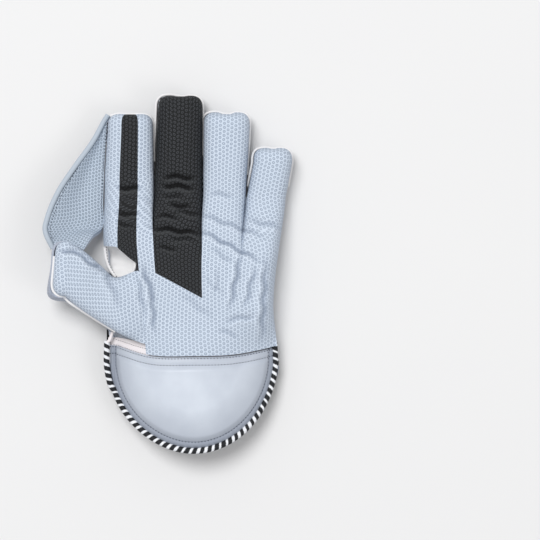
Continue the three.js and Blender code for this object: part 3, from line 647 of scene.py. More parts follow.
pale_rubber = Finish("pale_pimpled_rubber", Specular_IOR_Level=0.35)
pimples(
    pale_rubber,
    # ring colour, painted shade of the groove round each pimple
    colour(132, 145, 165),
    colour(198, 209, 223),
    colour(182, 194, 209),
    # painted shade inside a crease, then painted highlight on a fold's top
    colour(130, 142, 161),
    colour(226, 235, 248),
)

THUMB_SEAM = (0.12, 0.93)  # rows of the palm between which the thumb grows out of it
THUMB_JOIN = 0.3  # share of the thumb over which it does
SEAM_STEPS = 56
palm_rows = [
    *steps(0, THUMB_SEAM[0], 8)[:-1],
    *steps(*THUMB_SEAM, SEAM_STEPS),
    0.96,
    CUT - SEAM_ROW,
    CUT + SEAM_ROW,
    *steps(CUT + 0.015, CROTCH, 88),
    *steps(CROTCH, TIP_START, 40)[1:],
    *turned_rows(TIP_START, 24),
]
index_breaks = [side * STRIP_ANGLE + gap for side in (-1, 1) for gap in (-SEAM, SEAM)]
palm_columns = [
    (finger, degrees)
    for finger in range(len(FINGERS))
    for degrees in even_angles(44, -90, 90, () if finger else index_breaks)
]
palm_points = grid(lambda row: [facing_point(f, d, row) for f, d in palm_columns], palm_rows)


def palm_sheet():
    """Flat place of each point of the facings: the fingers keep to their own middles."""
    run = lengths(palm_points, 1)
    crotch_row = palm_rows.index(CROTCH)
    owner = np.array([finger for finger, _ in palm_columns])
    middle = [int(np.flatnonzero(owner == f).mean()) for f in range(len(FINGERS))]
    flat = run - run[:, [middle[2]]]
    for i in range(crotch_row + 1, len(palm_rows)):
        for finger, centre in enumerate(middle):
            own = owner == finger
            flat[i, own] = flat[crotch_row, centre] + run[i, own] - run[i, centre]
    along = palm_points[0, :, 1] + lengths(palm_points, 0)
    return np.stack([flat, along], axis=2)


palm_uv = palm_sheet()
palm_folds = folds(palm_points)


def facing_patch(owns):
    def present(i, j):
        (finger, degrees), (next_finger, next_degrees) = palm_columns[j], palm_columns[j + 1]
        if finger != next_finger and palm_rows[i] >= CROTCH:
            return False
        return owns(finger, degrees, next_finger, next_degrees, palm_rows[i])

    return patch(palm_points, palm_uv, present, fold=palm_folds)


def palm_owns(finger, degrees, next_finger, next_degrees, row):
    if finger == 0 and degrees < STRIP_ANGLE:
        return False
    if row < CUT - SEAM_ROW:
        return True
    if row < CUT + SEAM_ROW:
        return finger != 1 and next_finger != 1
    return finger != 1 if finger == next_finger else finger == 2


def thumb_section(at):
    """Middle, chord, half width and two other axes of a section of the thumb, with its heights."""
    row = {name: curve(min(at, 1)) for name, curve in thumb_table.items()}
    inner, outer = (
        Vector((HAND_WIDTH * row[f"{s}_x"], HAND_LENGTH * row[f"{s}_y"], THUMB_HEIGHT * row[f"{s}_z"]))
        for s in ("inner", "outer")
    )
    chord = outer - inner
    half = chord.length / 2
    chord.normalize()
    ahead = Vector((chord.y, -chord.x, 0)).normalized()
    up = chord.cross(ahead).normalized()
    if up.z < 0:
        up.negate()
    crown = THUMB_CROWN * row["crown"]
    depth = THUMB_DEPTH * row["depth"]
    return (inner + outer) / 2, chord, half, ahead, up, crown, depth


def thumb_point(degrees, row, under=False, grow=0.0, deeper=0.0):
    """A point round the thumb: from the inner seam (-90) to the outer (90), over the top or under."""
    middle, chord, half, ahead, up, crown, depth = thumb_section(row)
    turn = math.radians(90 * clamp(row - 1))
    lying = soft(max(0.0, math.cos(turn)))
    width = half - THUMB_ROUND * (1 - lying) + grow
    height = (-depth - grow - deeper if under else crown + grow) * (0 if row >= 2 else lying)
    bulge = THUMB_BULGE * math.sin(math.radians(2 * degrees)) * 0.5 if under and degrees > 0 else 0
    return (
        middle
        + chord * (width * across(degrees) + bulge * lying)
        + ahead * ((THUMB_ROUND + grow) * soft(math.sin(turn)))
        + up * (height * above(degrees))
    )


thumb_column = next(j for j, (f, d) in enumerate(palm_columns) if f == 0 and d > STRIP_ANGLE)
seam_row = palm_rows.index(THUMB_SEAM[0])
thumb_angles = even_angles(SEAM_STEPS, -90, 90)
thumb_joins = [THUMB_JOIN * (0.5 - math.sin(math.asin(1 - 2 * w) / 3)) for w in steps(0, 1, 22)]
thumb_rows = [
    *thumb_joins,
    *steps(THUMB_JOIN, 1, 46)[1:],
    *turned_rows(1, 28),
]


def thumb_facing_row(row):
    line = []
    for k, degrees in enumerate(thumb_angles):
        edge = Vector(palm_points[seam_row + SEAM_STEPS - k, thumb_column])
        free = thumb_point(degrees, row) - thumb_section(1)[3] * THUMB_TRIM * ease(row, 0.8, 1.4)
        point = edge.lerp(free, ease(row, 0, THUMB_JOIN))
        point.z -= crease_drop(point.x, point.y) * ease(row, 0, 0.1) * (1 - clamp(row - 1))
        line.append(point)
    return line


thumb_points = grid(thumb_facing_row, thumb_rows)
across_thumb = lengths(thumb_points, 1)
along_thumb = lengths(thumb_points, 0)
centre = SEAM_STEPS // 2
seam_uv = palm_uv[seam_row + centre, thumb_column]
thumb_uv = np.stack(
    [seam_uv[0] - along_thumb, seam_uv[1] - (across_thumb - across_thumb[:, [centre]])], axis=2
)

palm_rubber = sewn(
    "palm_rubber",
    [facing_patch(palm_owns), patch(thumb_points, thumb_uv, fold=folds(thumb_points))],
    FACING_WALL,
    pale_rubber.material,
)
fitted(palm_rubber, "pale_rubber", "palm_facing", "thumb_facing")

# Index and middle finger: the same rubber, let in with the edges butted. The index finger has a pale outer
# band and a narrow black strip, and the middle one is black down to its slanted end in the palm.
black_rubber = Finish("black_pimpled_rubber", Specular_IOR_Level=0.3)
pimples(
    black_rubber,
    # ring colour, painted shade of the groove round each pimple
    colour(68, 71, 75),
    colour(9, 10, 12),
    colour(30, 31, 33),
    # painted shade inside a crease, then painted highlight on a fold's top
    colour(1, 1, 2),
    colour(64, 66, 68),
    share=0.5,
)


def finger_rubber(name, finger, low, high, finish):
    """The facing of one finger between two section angles, from the fingertip down into the palm."""

    def owns(first, degrees, second, next_degrees, row):
        return row > CUT and first == second == finger and low <= degrees and next_degrees <= high

    return sewn(name, [facing_patch(owns)], FACING_WALL, finish.material)


index_rubber = finger_rubber("index_outer_rubber", 0, -90, -STRIP_ANGLE, pale_rubber)
fitted(index_rubber, "pale_rubber", "index_outer_facing")
index_strip = finger_rubber("index_strip_rubber", 0, -STRIP_ANGLE, STRIP_ANGLE, black_rubber)
fitted(index_strip, "black_rubber", "index_strip")
middle_rubber = finger_rubber("middle_finger_rubber", 1, -90, 90, black_rubber)
fitted(middle_rubber, "black_rubber", "middle_facing")

# Cuff panel: smooth leather over thick foam, in a half oval that bows over the wrist. Its top band is
# stitched down in two rows, and its edge is drawn in to the piping by a third.
CUFF_STRAIGHT = 9
CUFF_WALL = 5
CUFF_FALL = 0.3
BAND_ROWS = (1.3, 6.9)  # lines of stitches below the wrist seam
MARGIN_ROW = 5.0  # line of stitches inside the piping
STITCH_WIDTH = 0.8  # half width of the groove that a line of stitches presses in
CUFF_ROUND = 3.0  # how wide the panel's edge rolls down
CUFF_FLARE = 0.055  # share by which worn leather stands out on the thumb side
PAD_HEIGHT = 2.2  # how far the foam lifts the leather above its sewn margins
PAD_SWELL = 0.8  # how much further it swells to its middle
EDGE_ROLL = 1.4  # how far the panel's edge rolls down
PUCKER = 0.22  # height of the puckers that the seam draws into the margin
CUFF_TURN = 85  # section angle at which the panel's sides end


def leather(finish, shade, light, worn, grain=1.0):
    """Smooth tanned leather: fine pores, faint clouding, and the worn colour mixed in as painted shade and
    wear towards the edges, and also in the margin outside the stitch line and in the pores.
    """
    place = finish.place()
    pores = finish.node(
        "ShaderNodeTexVoronoi", {"feature": "DISTANCE_TO_EDGE"}, {"Vector": place, "Scale": 1.15}
    )
    fine = finish.noise(place, 2.4, 3.0)
    clouds = finish.noise(place, 0.035, 4.0)
    rim = finish.mark("rim")
    base = finish.blend((clouds * 1.6 - 0.3).held(), shade, light)
    # Painted shade and wear: the worn colour is mixed in within 32 mm of an edge, where a padded panel
    # rounds away from the light, and also in the margin outside the stitch line and in the pores.
    edge_shade_and_wear = (1 - rim.above(MARGIN_ROW + 0.5, 1.2)) * 0.6 + (1 - rim / 32).held() * 0.68
    edge_shade_and_wear = edge_shade_and_wear + (0.08 - pores).held() * 0.9
    base = finish.blend(edge_shade_and_wear.held(), base, worn)
    finish.set(Base_Color=base, Roughness=(0.42 + (fine - 0.5) * 0.22 + edge_shade_and_wear * 0.2).held())
    finish.bump((pores * 1.4).held() * 0.6 + fine * 0.5, 0.12 * grain, 0.55)
    return base


pale_leather = Finish("pale_smooth_leather", Specular_IOR_Level=0.45)
leather(pale_leather, colour(184, 191, 203), colour(206, 213, 223), colour(140, 147, 160))


def cuff_point(degrees, row):
    side = math.sin(math.radians(degrees))
    x = CUFF_WIDTH / 2 * side * (1 + CUFF_FLARE * ease(-side, 0.2, 0.9))
    end = -CUFF_STRAIGHT - (CUFF_LENGTH - CUFF_STRAIGHT) * math.cos(math.radians(degrees))
    fall = 1 - CUFF_FALL * row * row
    return x, lerp(wrist_y(x) - SEAM_GAP, end, row), lerp(CUFF_EDGE, arch_height(x), fall)


def groove(distance, line, width, depth):
    """Depth at some distance from an edge of a groove that runs along the edge at a line."""
    return depth * math.exp(-(((distance - line) / width) ** 2))


cuff_angles = [CUFF_TURN * math.copysign(abs(t) ** 0.92, t) for t in steps(-1, 1, 150)]
cuff_rows = [1 - (1 - t) ** 1.15 for t in steps(0, 1, 76)]
cuff_plain = grid(lambda row: [cuff_point(a, row) for a in cuff_angles], cuff_rows)


def distance_to(points, line):
    """Least distance from each point of a grid to a line of points."""
    flat = points.reshape(-1, 3)
    near = np.full(len(flat), 1e9)
    for p in line:
        near = np.minimum(near, np.linalg.norm(flat - p, axis=1))
    return near.reshape(points.shape[:2])


cuff_edge = np.concatenate([cuff_plain[::-2, 0], cuff_plain[-1], cuff_plain[::2, -1]])
cuff_rim = distance_to(cuff_plain, cuff_edge)
cuff_top = lengths(cuff_plain, 0)
cuff_points = cuff_plain.copy()
for i in range(cuff_points.shape[0]):
    for j in range(cuff_points.shape[1]):
        rim, top = cuff_rim[i, j], cuff_top[i, j]
        pad = ease(rim, MARGIN_ROW, MARGIN_ROW + 5) * ease(top, BAND_ROWS[1], BAND_ROWS[1] + 5)
        drop = PAD_HEIGHT * (1 - pad) + EDGE_ROLL * (1 - clamp(rim / CUFF_ROUND)) ** 2
        drop -= PAD_SWELL * ease(rim, 9, 34) * ease(top, 10, 34)
        drop += groove(rim, MARGIN_ROW, STITCH_WIDTH, 0.7)
        drop += sum(groove(top, line, STITCH_WIDTH, 0.6) for line in BAND_ROWS)
        pucker = math.sin(j * 1.3 + 2.5 * math.sin(j * 0.37)) + 0.5 * math.sin(j * 2.1 + 1)
        drop += PUCKER * pucker * (1 - ease(rim, 4, 8)) * ease(rim, 0.5, 2) * ease(top, 0, 4)
        cuff_points[i, j, 2] -= drop + groove(top, 0, 0.9, 0.8)
# The rim numbers set where the leather's painted shade and wear darken the panel towards its edges and
# margin.
cuff = sewn(
    "cuff_panel",
    [patch(cuff_points, rim=np.minimum(cuff_rim, cuff_top + 18))],
    CUFF_WALL - 0.2,
    pale_leather.material,
    bevel=0.8,
)
fitted(cuff, "pale_leather", "palm_cuff", "cuff_band")

# Cuff lining: plain cotton, sewn in under the panel and carried a little way up inside the wrist. Beside
# the thumb it shows in the slit, where it is sewn to a strip of leather.
LINING_WALL = 1.2
LINING_SHOWN = (6.5, 10)  # how far above the cuff it reaches, at the thumb side and from the slit on
SLIT_WIDTH = 26  # over how much of the cuff it rises from the one to the other
SLIT_REACH = 1.6  # how far it is drawn out beside the thumb, where the slit shows it
lining_rows = steps(-1, 0.96, 50)
lining_angles = steps(-86, 75, 60)


def weave(finish, dark, light, pitch=0.9):
    """Plain woven cotton: threads over and under each other."""
    uv, x, y = finish.sheet()
    warp = (x * (math.pi / pitch)).wave()
    weft = (y * (math.pi / pitch)).wave()
    cloth = (warp * weft * 0.5 + 0.5).held()
    clouds = finish.noise(uv, 0.08, 3.0)
    finish.set(Base_Color=finish.blend((cloth * 0.6 + clouds * 0.5).held(), dark, light))
    finish.bump(cloth, 0.16, 0.7)


cotton = Finish("cotton_lining_cloth", Roughness=0.93, Specular_IOR_Level=0.2, Sheen_Weight=0.25)
weave(cotton, colour(226, 219, 221), colour(250, 245, 246))


def cuff_lining_row(row):
    line = []
    for degrees in lining_angles:
        x, y, z = cuff_point(degrees, max(0, row))
        shown = lerp(*LINING_SHOWN, clamp((x + CUFF_WIDTH / 2) / SLIT_WIDTH))
        line.append((x, y - min(0, row) * shown, z))
    return line


lining_points = grid(cuff_lining_row, lining_rows)
lining_points = behind(lining_points, CUFF_WALL + 2 * SEAM_GAP, UP)
for i, row in enumerate(lining_rows):
    for j, degrees in enumerate(lining_angles):
        lining_points[i, j, 0] -= SLIT_REACH * ease(-row, 0, 0.25) * ease(-degrees, 45, 86)
cuff_lining = sewn("cuff_lining_cloth", [patch(lining_points)], LINING_WALL, cotton.material, bevel=0.3)
fitted(cuff_lining, "cotton_lining", "cuff_lining")


def cut_size(points):
    """Width, length and area of the flat cut of a sheet, in metres."""
    wide = lengths(points, 1)[:, -1].max() * MM
    long = lengths(points, 0)[-1].max() * MM
    across_cells = np.cross(points[1:, 1:] - points[:-1, :-1], points[1:, :-1] - points[:-1, 1:])
    area = np.linalg.norm(across_cells, axis=2).sum() / 2 * MM * MM
    return (wide, long), min(area, wide * long)


flat, area = cut_size(lining_points)

# Slit: a strip of the same leather as the cuff's lies behind it, beside the thumb. It starts under the
# lining's edge and runs on up inside the palm.
STRIP_ACROSS = (-69.5, -40)
STRIP_ALONG = (-4, 18)
STRIP_DEPTH = (8.5, 10.5)  # how far it lies below the arch of the cuff, at its lower and upper edge


def strip_row(row):
    y, depth = lerp(*STRIP_ALONG, row), lerp(*STRIP_DEPTH, row)
    return [(x, y, arch_height(x) - depth) for x in steps(*STRIP_ACROSS, 20)]


slit_back = grid(strip_row, steps(0, 1, 12))
slit_leather = sewn("slit_leather", [patch(slit_back)], LINING_WALL, pale_leather.material, bevel=0.3)
fitted(slit_leather, "pale_leather")

# Piping: a cord in woven tape with slanted black and white stripes, sewn in all round the cuff's edge,
# on the palm side and on the back.
PIPING = 4.6
GAUNTLET_WIDTH = 133
GAUNTLET_LENGTH = 84
STRIPE_PITCH = 6.2
STRIPE_SLANT = 0.062  # share of the pitch by which a stripe moves on for each millimetre round the cord
BLACK_SHARE = 0.31  # half a black stripe, as a share of the pitch
striped = Finish("striped_piping_tape", Roughness=0.7, Specular_IOR_Level=0.3)


def stripes(finish, pitch):
    uv, around, along = finish.sheet()
    threads = (along * 7.0).wave() * (around * 5.0).wave()
    rough_edge = (finish.noise(uv, 0.9, 2.0) - 0.5) * 0.22
    lane = (along / pitch - around * STRIPE_SLANT + rough_edge).fraction()
    share = BLACK_SHARE + (finish.noise(uv, 0.03, 1.0) - 0.5) * 0.35
    black = (share - (lane - 0.5).size()).above(0, 0.07)
    dull = finish.noise(uv, 0.5, 3.0)
    white = finish.blend(dull, colour(208, 212, 220), colour(246, 247, 249))
    finish.set(Base_Color=finish.blend(black, white, colour(26, 28, 32)))
    finish.bump(threads * 0.5 + 0.5, 0.12, 0.6)


stripes(striped, STRIPE_PITCH)


def tube(name, path, diameter, material, sides=10):
    """A round cord along a path, with its sheet running round it and along it."""
    path = np.array(path, dtype=float)
    run = length_run(path)
    ahead = np.gradient(path, axis=0)
    ahead /= np.linalg.norm(ahead, axis=1, keepdims=True)
    bm = bmesh.new()
    uv_layer = bm.loops.layers.uv.new("sheet")
    rings = []
    for p, d in zip(path, ahead):
        side = np.cross(d, UP)
        side /= np.linalg.norm(side) + 1e-9
        up = np.cross(side, d)
        turn = [2 * math.pi * k / sides for k in range(sides)]
        rings.append([bm.verts.new((p + (side * math.cos(a) + up * math.sin(a)) * diameter / 2) * MM)
                      for a in turn])
    for i in range(len(rings) - 1):
        for k in range(sides):
            n = (k + 1) % sides
            face = bm.faces.new((rings[i][k], rings[i][n], rings[i + 1][n], rings[i + 1][k]))
            face.smooth = True
            spots = [(k, i), (k + 1, i), (k + 1, i + 1), (k, i + 1)]
            for loop, (turn_at, at) in zip(face.loops, spots):
                loop[uv_layer].uv = (turn_at / sides * math.pi * diameter, run[at])
    bm.faces.new(rings[0][::-1])
    bm.faces.new(rings[-1])
    bmesh.ops.recalc_face_normals(bm, faces=bm.faces)
    mesh = made_mesh(name, bm)
    mesh.materials.append(material)
    mesh.set_sharp_from_angle(angle=math.radians(70))
    return new_object(name, mesh)


def unit(vector):
    vector = np.array(vector, dtype=float)
    return vector / (np.linalg.norm(vector) + 1e-12)


def level(vector):
    """Direction of a vector in plan."""
    return unit((vector[0], vector[1], 0))


def cuff_rim_seat(degrees, row):
    """Where the piping lies beside the cuff panel's edge, against the middle of its wall."""
    point = np.array(cuff_point(degrees, row))
    along = np.array(cuff_point(degrees + 0.5, row)) - np.array(cuff_point(degrees - 0.5, row))
    down = np.array(cuff_point(degrees, row + 0.01)) - np.array(cuff_point(degrees, row - 0.01))
    normal = unit(np.cross(along, down))
    normal = -normal if normal[2] < 0 else normal
    outward = np.cross(along, UP)
    outward = unit(outward - normal * outward.dot(normal))
    outward = -outward if outward.dot(point) < 0 else outward
    return point + outward * (PIPING / 2 + 2 * SEAM_GAP) - normal * CUFF_WALL / 2


def smooth_path(points, spacing):
    """Points evenly along a Catmull-Rom curve through the given ones."""
    points = [np.array(p, dtype=float) for p in points]
    ends = [2 * points[0] - points[1], *points, 2 * points[-1] - points[-2]]
    fine = []
    for a, b, c, d in zip(ends, ends[1:], ends[2:], ends[3:]):
        for t in steps(0, 1, 12)[:-1]:
            curve = (2 * a - 5 * b + 4 * c - d) * t**2 + (3 * b - a - 3 * c + d) * t**3
            fine.append(0.5 * (2 * b + (c - a) * t + curve))
    fine = np.array([*fine, points[-1]])
    run = length_run(fine)
    spots = np.linspace(0, run[-1], max(2, int(run[-1] / spacing) + 1))
    return np.stack([np.interp(spots, run, fine[:, axis]) for axis in range(3)], axis=1)


palm_piping_path = smooth_path(
    [
        cuff_rim_seat(-CUFF_TURN, -0.15),
        cuff_rim_seat(-CUFF_TURN, 0.5),
        *[cuff_rim_seat(a, 1) for a in steps(-CUFF_TURN, CUFF_TURN, 40)],
        cuff_rim_seat(CUFF_TURN, 0.5),
        cuff_rim_seat(CUFF_TURN, -0.15),
    ],
    1.6,
)
palm_piping = tube("palm_piping", palm_piping_path, PIPING + 0.4, striped.material, sides=16)
fitted(palm_piping, "striped_piping", "palm_cuff_piping")

# Back of the hand and gauntlet: one padded leather panel from the crotches to the round end of the cuff,
# which carries the glove's weight. Its sides turn up inside the palm facing.
BACK_WALL = 3
BACK_INSET = FACING_WALL + SEAM_GAP + 0.2
BACK_LEFT = -0.484
GAUNTLET_LIFT = 2.4  # how far the gauntlet's end lifts off the ground
FLAT_POWER = 10  # how sharply the back turns up at its sides
FLAT_SHARE = 0.1  # share of that rise which stays flat on the ground
BACK_WRIST = 1


def turn_up(degrees):
    return max(0.0, (abs(math.sin(math.radians(degrees))) ** FLAT_POWER - FLAT_SHARE) / (1 - FLAT_SHARE))


def right_rim(y):
    low = plain_facing_point(3, 90, WRIST)[1]
    high = plain_facing_point(3, 90, CUT)[1]
    return plain_facing_point(3, 90, clamp((y - low) / (high - low)))[2]


def back_side(side, y):
    at = clamp(y / HAND_LENGTH)
    left = HAND_WIDTH * lerp(BACK_LEFT, FINGERS[0]["left"], at) + BACK_INSET
    right = HAND_WIDTH * palm_outline["right"](at) - BACK_INSET
    return lerp(GAUNTLET_WIDTH / 2 * side, lerp(left, right, (side + 1) / 2), ease(y, -1, 9))


def hand_back_point(degrees, row):
    """Rows run from the end of the gauntlet (0) to the wrist (1) and on to the crotches (2)."""
    side = math.sin(math.radians(degrees))
    if row < BACK_WRIST:
        end = -CUFF_STRAIGHT - (GAUNTLET_LENGTH - CUFF_STRAIGHT) * math.cos(math.radians(degrees))
        y = lerp(end, wrist_y(GAUNTLET_WIDTH / 2 * side), row)
        rim = (SEAM_HEIGHT - 2 * SEAM_GAP) * ease(y, -1.6 * CUFF_STRAIGHT, 0)
        reach = math.hypot(side, min(0, y + CUFF_STRAIGHT) / (GAUNTLET_LENGTH - CUFF_STRAIGHT))
        lift = GAUNTLET_LIFT * ease(reach, 0.7, 1) * (1 - ease(y, -25, 0))
        return back_side(side, y), y, max(lift, rim * turn_up(degrees))
    crotch = HAND_LENGTH * palm_lines["crotch"]((side + 1) / 2)
    y = lerp(wrist_y(GAUNTLET_WIDTH / 2 * side), crotch, row - BACK_WRIST)
    rim = lerp(SEAM_HEIGHT, right_rim(y), ease(row, 1, 1.08)) if side > 0 else SEAM_HEIGHT
    return back_side(side, y), y, (rim - 2 * SEAM_GAP) * turn_up(degrees)


back_angles = [*steps(-90, -62, 20)[:-1], *steps(-62, 62, 60), *steps(62, 90, 20)[1:]]
back_rows = [*steps(0, 1, 46)[:-1], *steps(1, 2, 80)]
back_points = grid(lambda row: [hand_back_point(a, row) for a in back_angles], back_rows)
BACK_TONES = (colour(184, 190, 203), colour(206, 212, 222), colour(148, 154, 168))
back_leather = Finish("back_padded_leather", Specular_IOR_Level=0.45)
leather(back_leather, *BACK_TONES)
PRINT_INK = colour(28, 31, 38)
CHEVRON_PITCH = 5.2
CHEVRON_SLOPE = 0.9
# The herringbone printed on the back: from and to across the hand, and the width of its columns.
PRINTED_BANDS = [
    dict(start=-58.0, end=-45.5, column=12.5),
    dict(start=-31.5, end=8.5, column=20.0),
]
PRINT_LINE = (-58.5, 46, 33, 7)  # the dark line that ends it, slanting down to the little finger side
HOOK_END = (49, 19)  # from there it turns up again to this place
DOT_LINE = (-66, -16, 45, -71)  # the line below which the gauntlet is dotted
DOT_PITCH = 1.7


def line_height(x, line):
    """Height over x of the straight line through two points."""
    x1, y1, x2, y2 = line
    return (x - x1) * ((y2 - y1) / (x2 - x1)) + y1


def between(value, low, high, blur=0.25):
    return value.above(low, blur) * (1 - value.above(high, blur))


def herringbone(across_band, along_band, column, slope):
    """Slanting stripes that turn back at the middle and the edge of each column."""
    bend = ((across_band / column).fraction() - 0.5).size() * column
    return ((along_band - bend * slope) / CHEVRON_PITCH).fraction().above(0.45, 0.05)


def printed_leather(name, ink, strength=1.0):
    """Padded leather with the herringbone, its slanting lines and the dotted end of the gauntlet."""
    finish = Finish(name, Specular_IOR_Level=0.45)
    base = leather(finish, *BACK_TONES)
    place = finish.place()
    x, y = finish.split(place)
    over = y - line_height(x, PRINT_LINE)
    marks = between(over, -1.2, 1.2) * between(x, PRINT_LINE[0], PRINT_LINE[2])
    hook = y - line_height(x, (*PRINT_LINE[2:], *HOOK_END))
    marks = marks + between(hook, -1.3, 0.9) * between(x, PRINT_LINE[2], HOOK_END[0])
    ragged = finish.noise(place, 0.5, 2.0) * 3
    for band in PRINTED_BANDS:
        start = band["start"]
        stripes_in = between(x + ragged - 1.5, start + 1, band["end"]) * over.above(0, 0.3)
        marks = marks + herringbone(x - start, y, band["column"], CHEVRON_SLOPE) * stripes_in
        marks = marks + between(x, start - 0.8, start + 0.9) * over.above(0, 0.3)
    base = finish.blend(marks.held() * strength, base, ink)
    row = (y / DOT_PITCH).floor()
    dx = (x / DOT_PITCH + row * 0.5).fraction() - 0.5
    dy = (y / DOT_PITCH).fraction() - 0.5
    dots = 1 - ((dx * dx + dy * dy) ** 0.5).above(0.3, 0.12)
    under = (line_height(x, DOT_LINE) - y).above(0, 0.4)
    base = finish.blend(under * (dots * 0.55 + 0.3), base, colour(112, 117, 124))
    finish.set(Base_Color=base)
    return finish


back_print = printed_leather("printed_back_leather", PRINT_INK)
cap_print = printed_leather("printed_cap_leather", colour(98, 106, 120), 0.75)
hand_back = sewn(
    "hand_back_leather", [patch(back_points)], BACK_WALL, back_print.material, DOWN, bevel=0.7
)
fitted(hand_back, "pale_leather", "hand_back")


def back_piping_seat(degrees):
    point = np.array(hand_back_point(degrees, 0))
    outward = level(point + (0, CUFF_STRAIGHT, 0))
    return point + outward * (PIPING / 2 + 1.5 * SEAM_GAP) + (0, 0, BACK_WALL / 2)


back_piping_path = smooth_path([back_piping_seat(a) for a in steps(-87, 87, 40)], 1.6)
back_piping = tube("back_piping", back_piping_path, PIPING, striped.material, sides=16)
fitted(back_piping, "striped_piping", "back_cuff_piping")

# Lining of the back: the same cotton as the cuff's, laid on the inside of the back panel from the gauntlet
# nearly to the finger roots, and sewn in with the panel's side seams.
inner_angles = [a for a in back_angles if -66 <= a <= 66]
inner_rows = [r for r in back_rows if 0.12 <= r <= 1.75]
inner_back = grid(lambda row: [hand_back_point(a, row) for a in inner_angles], inner_rows)
inner_back = behind(inner_back, BACK_WALL + SEAM_GAP, DOWN)
back_lining = sewn(
    "back_lining_cloth", [patch(inner_back)], LINING_WALL, cotton.material, DOWN, bevel=0.3
)
fitted(back_lining, "cotton_lining", "back_lining")
flat, area = cut_size(inner_back)

# Side tab: black woven tape folded over the thumb side of the wrist and sewn down. Beside it the end of the
# cuff's lining is turned in, like a short cord.
TAB_LENGTH = 25
TAB_WALL = 0.8
TAB_EDGE = -71  # the tab's lower edge is drawn out to here, on the thumb side
TAB_LEAN = 3.2  # and its upper edge this much further
KNOT = 2.6  # thickness of the turned end of the lining
tape = Finish("black_woven_tape", Roughness=0.82, Specular_IOR_Level=0.25)
weave(tape, colour(14, 15, 18), colour(44, 46, 50), 1.1)
tab_start = BACK_WRIST + 0.03
tab_rows = steps(tab_start, tab_start + TAB_LENGTH / (HAND_LENGTH * 0.68), 24)
tab_points = grid(lambda row: [hand_back_point(a, row) for a in steps(-89, -70, 12)], tab_rows)
tab_points = behind(tab_points, -TAB_WALL - 2 * SEAM_GAP, DOWN)
tab_points[:, :, 0] = np.minimum(tab_points[:, :, 0], TAB_EDGE - TAB_LEAN * np.linspace(1, 0, 13))
side_tab = sewn("side_tab_tape", [patch(tab_points)], TAB_WALL, tape.material, DOWN, bevel=0.2)
fitted(side_tab, "black_tab", "side_tab")
knot_path = [(-68.6, 11, 22), (-69.8, 7.5, 21.5), (-71.3, 4, 20.5), (-73.2, 2, 18.5), (-72.4, 0.4, 16)]
knot = tube("piping_end", smooth_path(knot_path, 0.8), KNOT, cotton.material)
fitted(knot, "cotton_lining")

# Finger backs: a trough of padded leather under each finger, nested in the rubber facing, with a sewn
# protector over the fingertip and a white welt of folded leather round the edge.
CAP_WALL = 1.6
WELT = 2.0
WELT_SHOWN = (1.0, 2.1, 1.6, 1.3)  # how far each welt stands out past the facing on the left
WELT_HIDDEN = 0.3  # and on the right
SHOWN_BACKS = (0, 5.0, 5.2, 4.4)  # how far each back shows past the facing at the left of the tip
SHOWN_AHEAD = 1.6  # how far it then also stands out past the tip
SHOWN_DROP = 2.4  # and how much lower its rim lies
CAP_START = 2.66  # row of a finger at which its protector starts, at the points of its edge
CAP_NOTCH = 0.1  # depth of the notches in that edge, as a row
CAP_TOOTH = 17.5  # half the pitch of the points, as a section angle


def finger_back_point(finger, degrees, row):
    along, ahead, lying, middle, half = finger_section(finger, row)
    half = half - BACK_INSET - (TIP_ROUND - BACK_INSET) * (1 - lying)
    start = HAND_LENGTH * palm_lines["crotch"](share_of(finger, degrees)) + 4 * SEAM_GAP
    y = finger_y(finger, start, along) + (TIP_ROUND - BACK_INSET) * ahead
    drop = 0 if row == TIP else above(degrees) * lying
    tip = ease(row, 2.2, 3) * (1 - across(degrees)) / 2 if SHOWN_BACKS[finger] else 0
    x = middle + half * across(degrees) - SHOWN_BACKS[finger] * tip
    y += SHOWN_AHEAD * tip * ease(row, TIP_START, TIP)
    return x, y, lerp(seam_height(row) - SHOWN_DROP * tip, TIP_LIFT * along, drop)


finger_rows = [*steps(CROTCH, TIP_START, 44), *turned_rows(TIP_START, 24)]
white_leather = Finish("white_soft_leather", Roughness=0.75, Specular_IOR_Level=0.3)
leather(white_leather, colour(228, 227, 228), colour(244, 243, 242), colour(230, 229, 230), 1.6)


def finger_back(finger):
    name = FINGERS[finger]["name"]
    angles = even_angles(34, -90, 90)
    points = grid(lambda row: [finger_back_point(finger, a, row) for a in angles], finger_rows)
    back = sewn(
        f"{name}_back_leather", [patch(points)], BACK_WALL, back_print.material, DOWN, bevel=0.5
    )
    fitted(back, "pale_leather", f"{name}_back")
    cap_angles = even_angles(34, -52, 52)

    def cap_row(share):
        starts = [CAP_START + CAP_NOTCH * abs((a / CAP_TOOTH + 0.4) % 2 - 1) for a in cap_angles]
        return [finger_back_point(finger, a, lerp(s, 3.6, share)) for a, s in zip(cap_angles, starts)]

    points = behind(grid(cap_row, steps(0, 1, 30)), -CAP_WALL - SEAM_GAP, DOWN)
    cap = sewn(f"{name}_cap_leather", [patch(points)], CAP_WALL, cap_print.material, DOWN)
    fitted(cap, "pale_leather", f"{name}_cap")


def welt_path(finger):
    """Round the free edge of a finger's facing, a little inside it and under its rim."""
    rows = [r for r in finger_rows if r > CROTCH + 0.3]

    def rim(degrees, row):
        x, y, _ = facing_point(finger, degrees, row)
        return np.array([x, y, seam_height(row) - SEAM_GAP - WELT / 2])

    tip = [rim(a, TIP) for a in (-90, -40, -15, 0, 15, 40, 90)]
    path = [*[rim(-90, r) for r in rows[:-1]], *tip, *[rim(90, r) for r in rows[-2::-1]]]
    middle = np.mean(path, axis=0)
    for p in path:
        outward = unit([p[0] - middle[0], max(0, p[1] - middle[1]) * 0.25, 0])
        p += outward * lerp(WELT_SHOWN[finger], WELT_HIDDEN, clamp((p[0] - middle[0]) / 12 + 0.9))
    return smooth_path(path, 1.2)


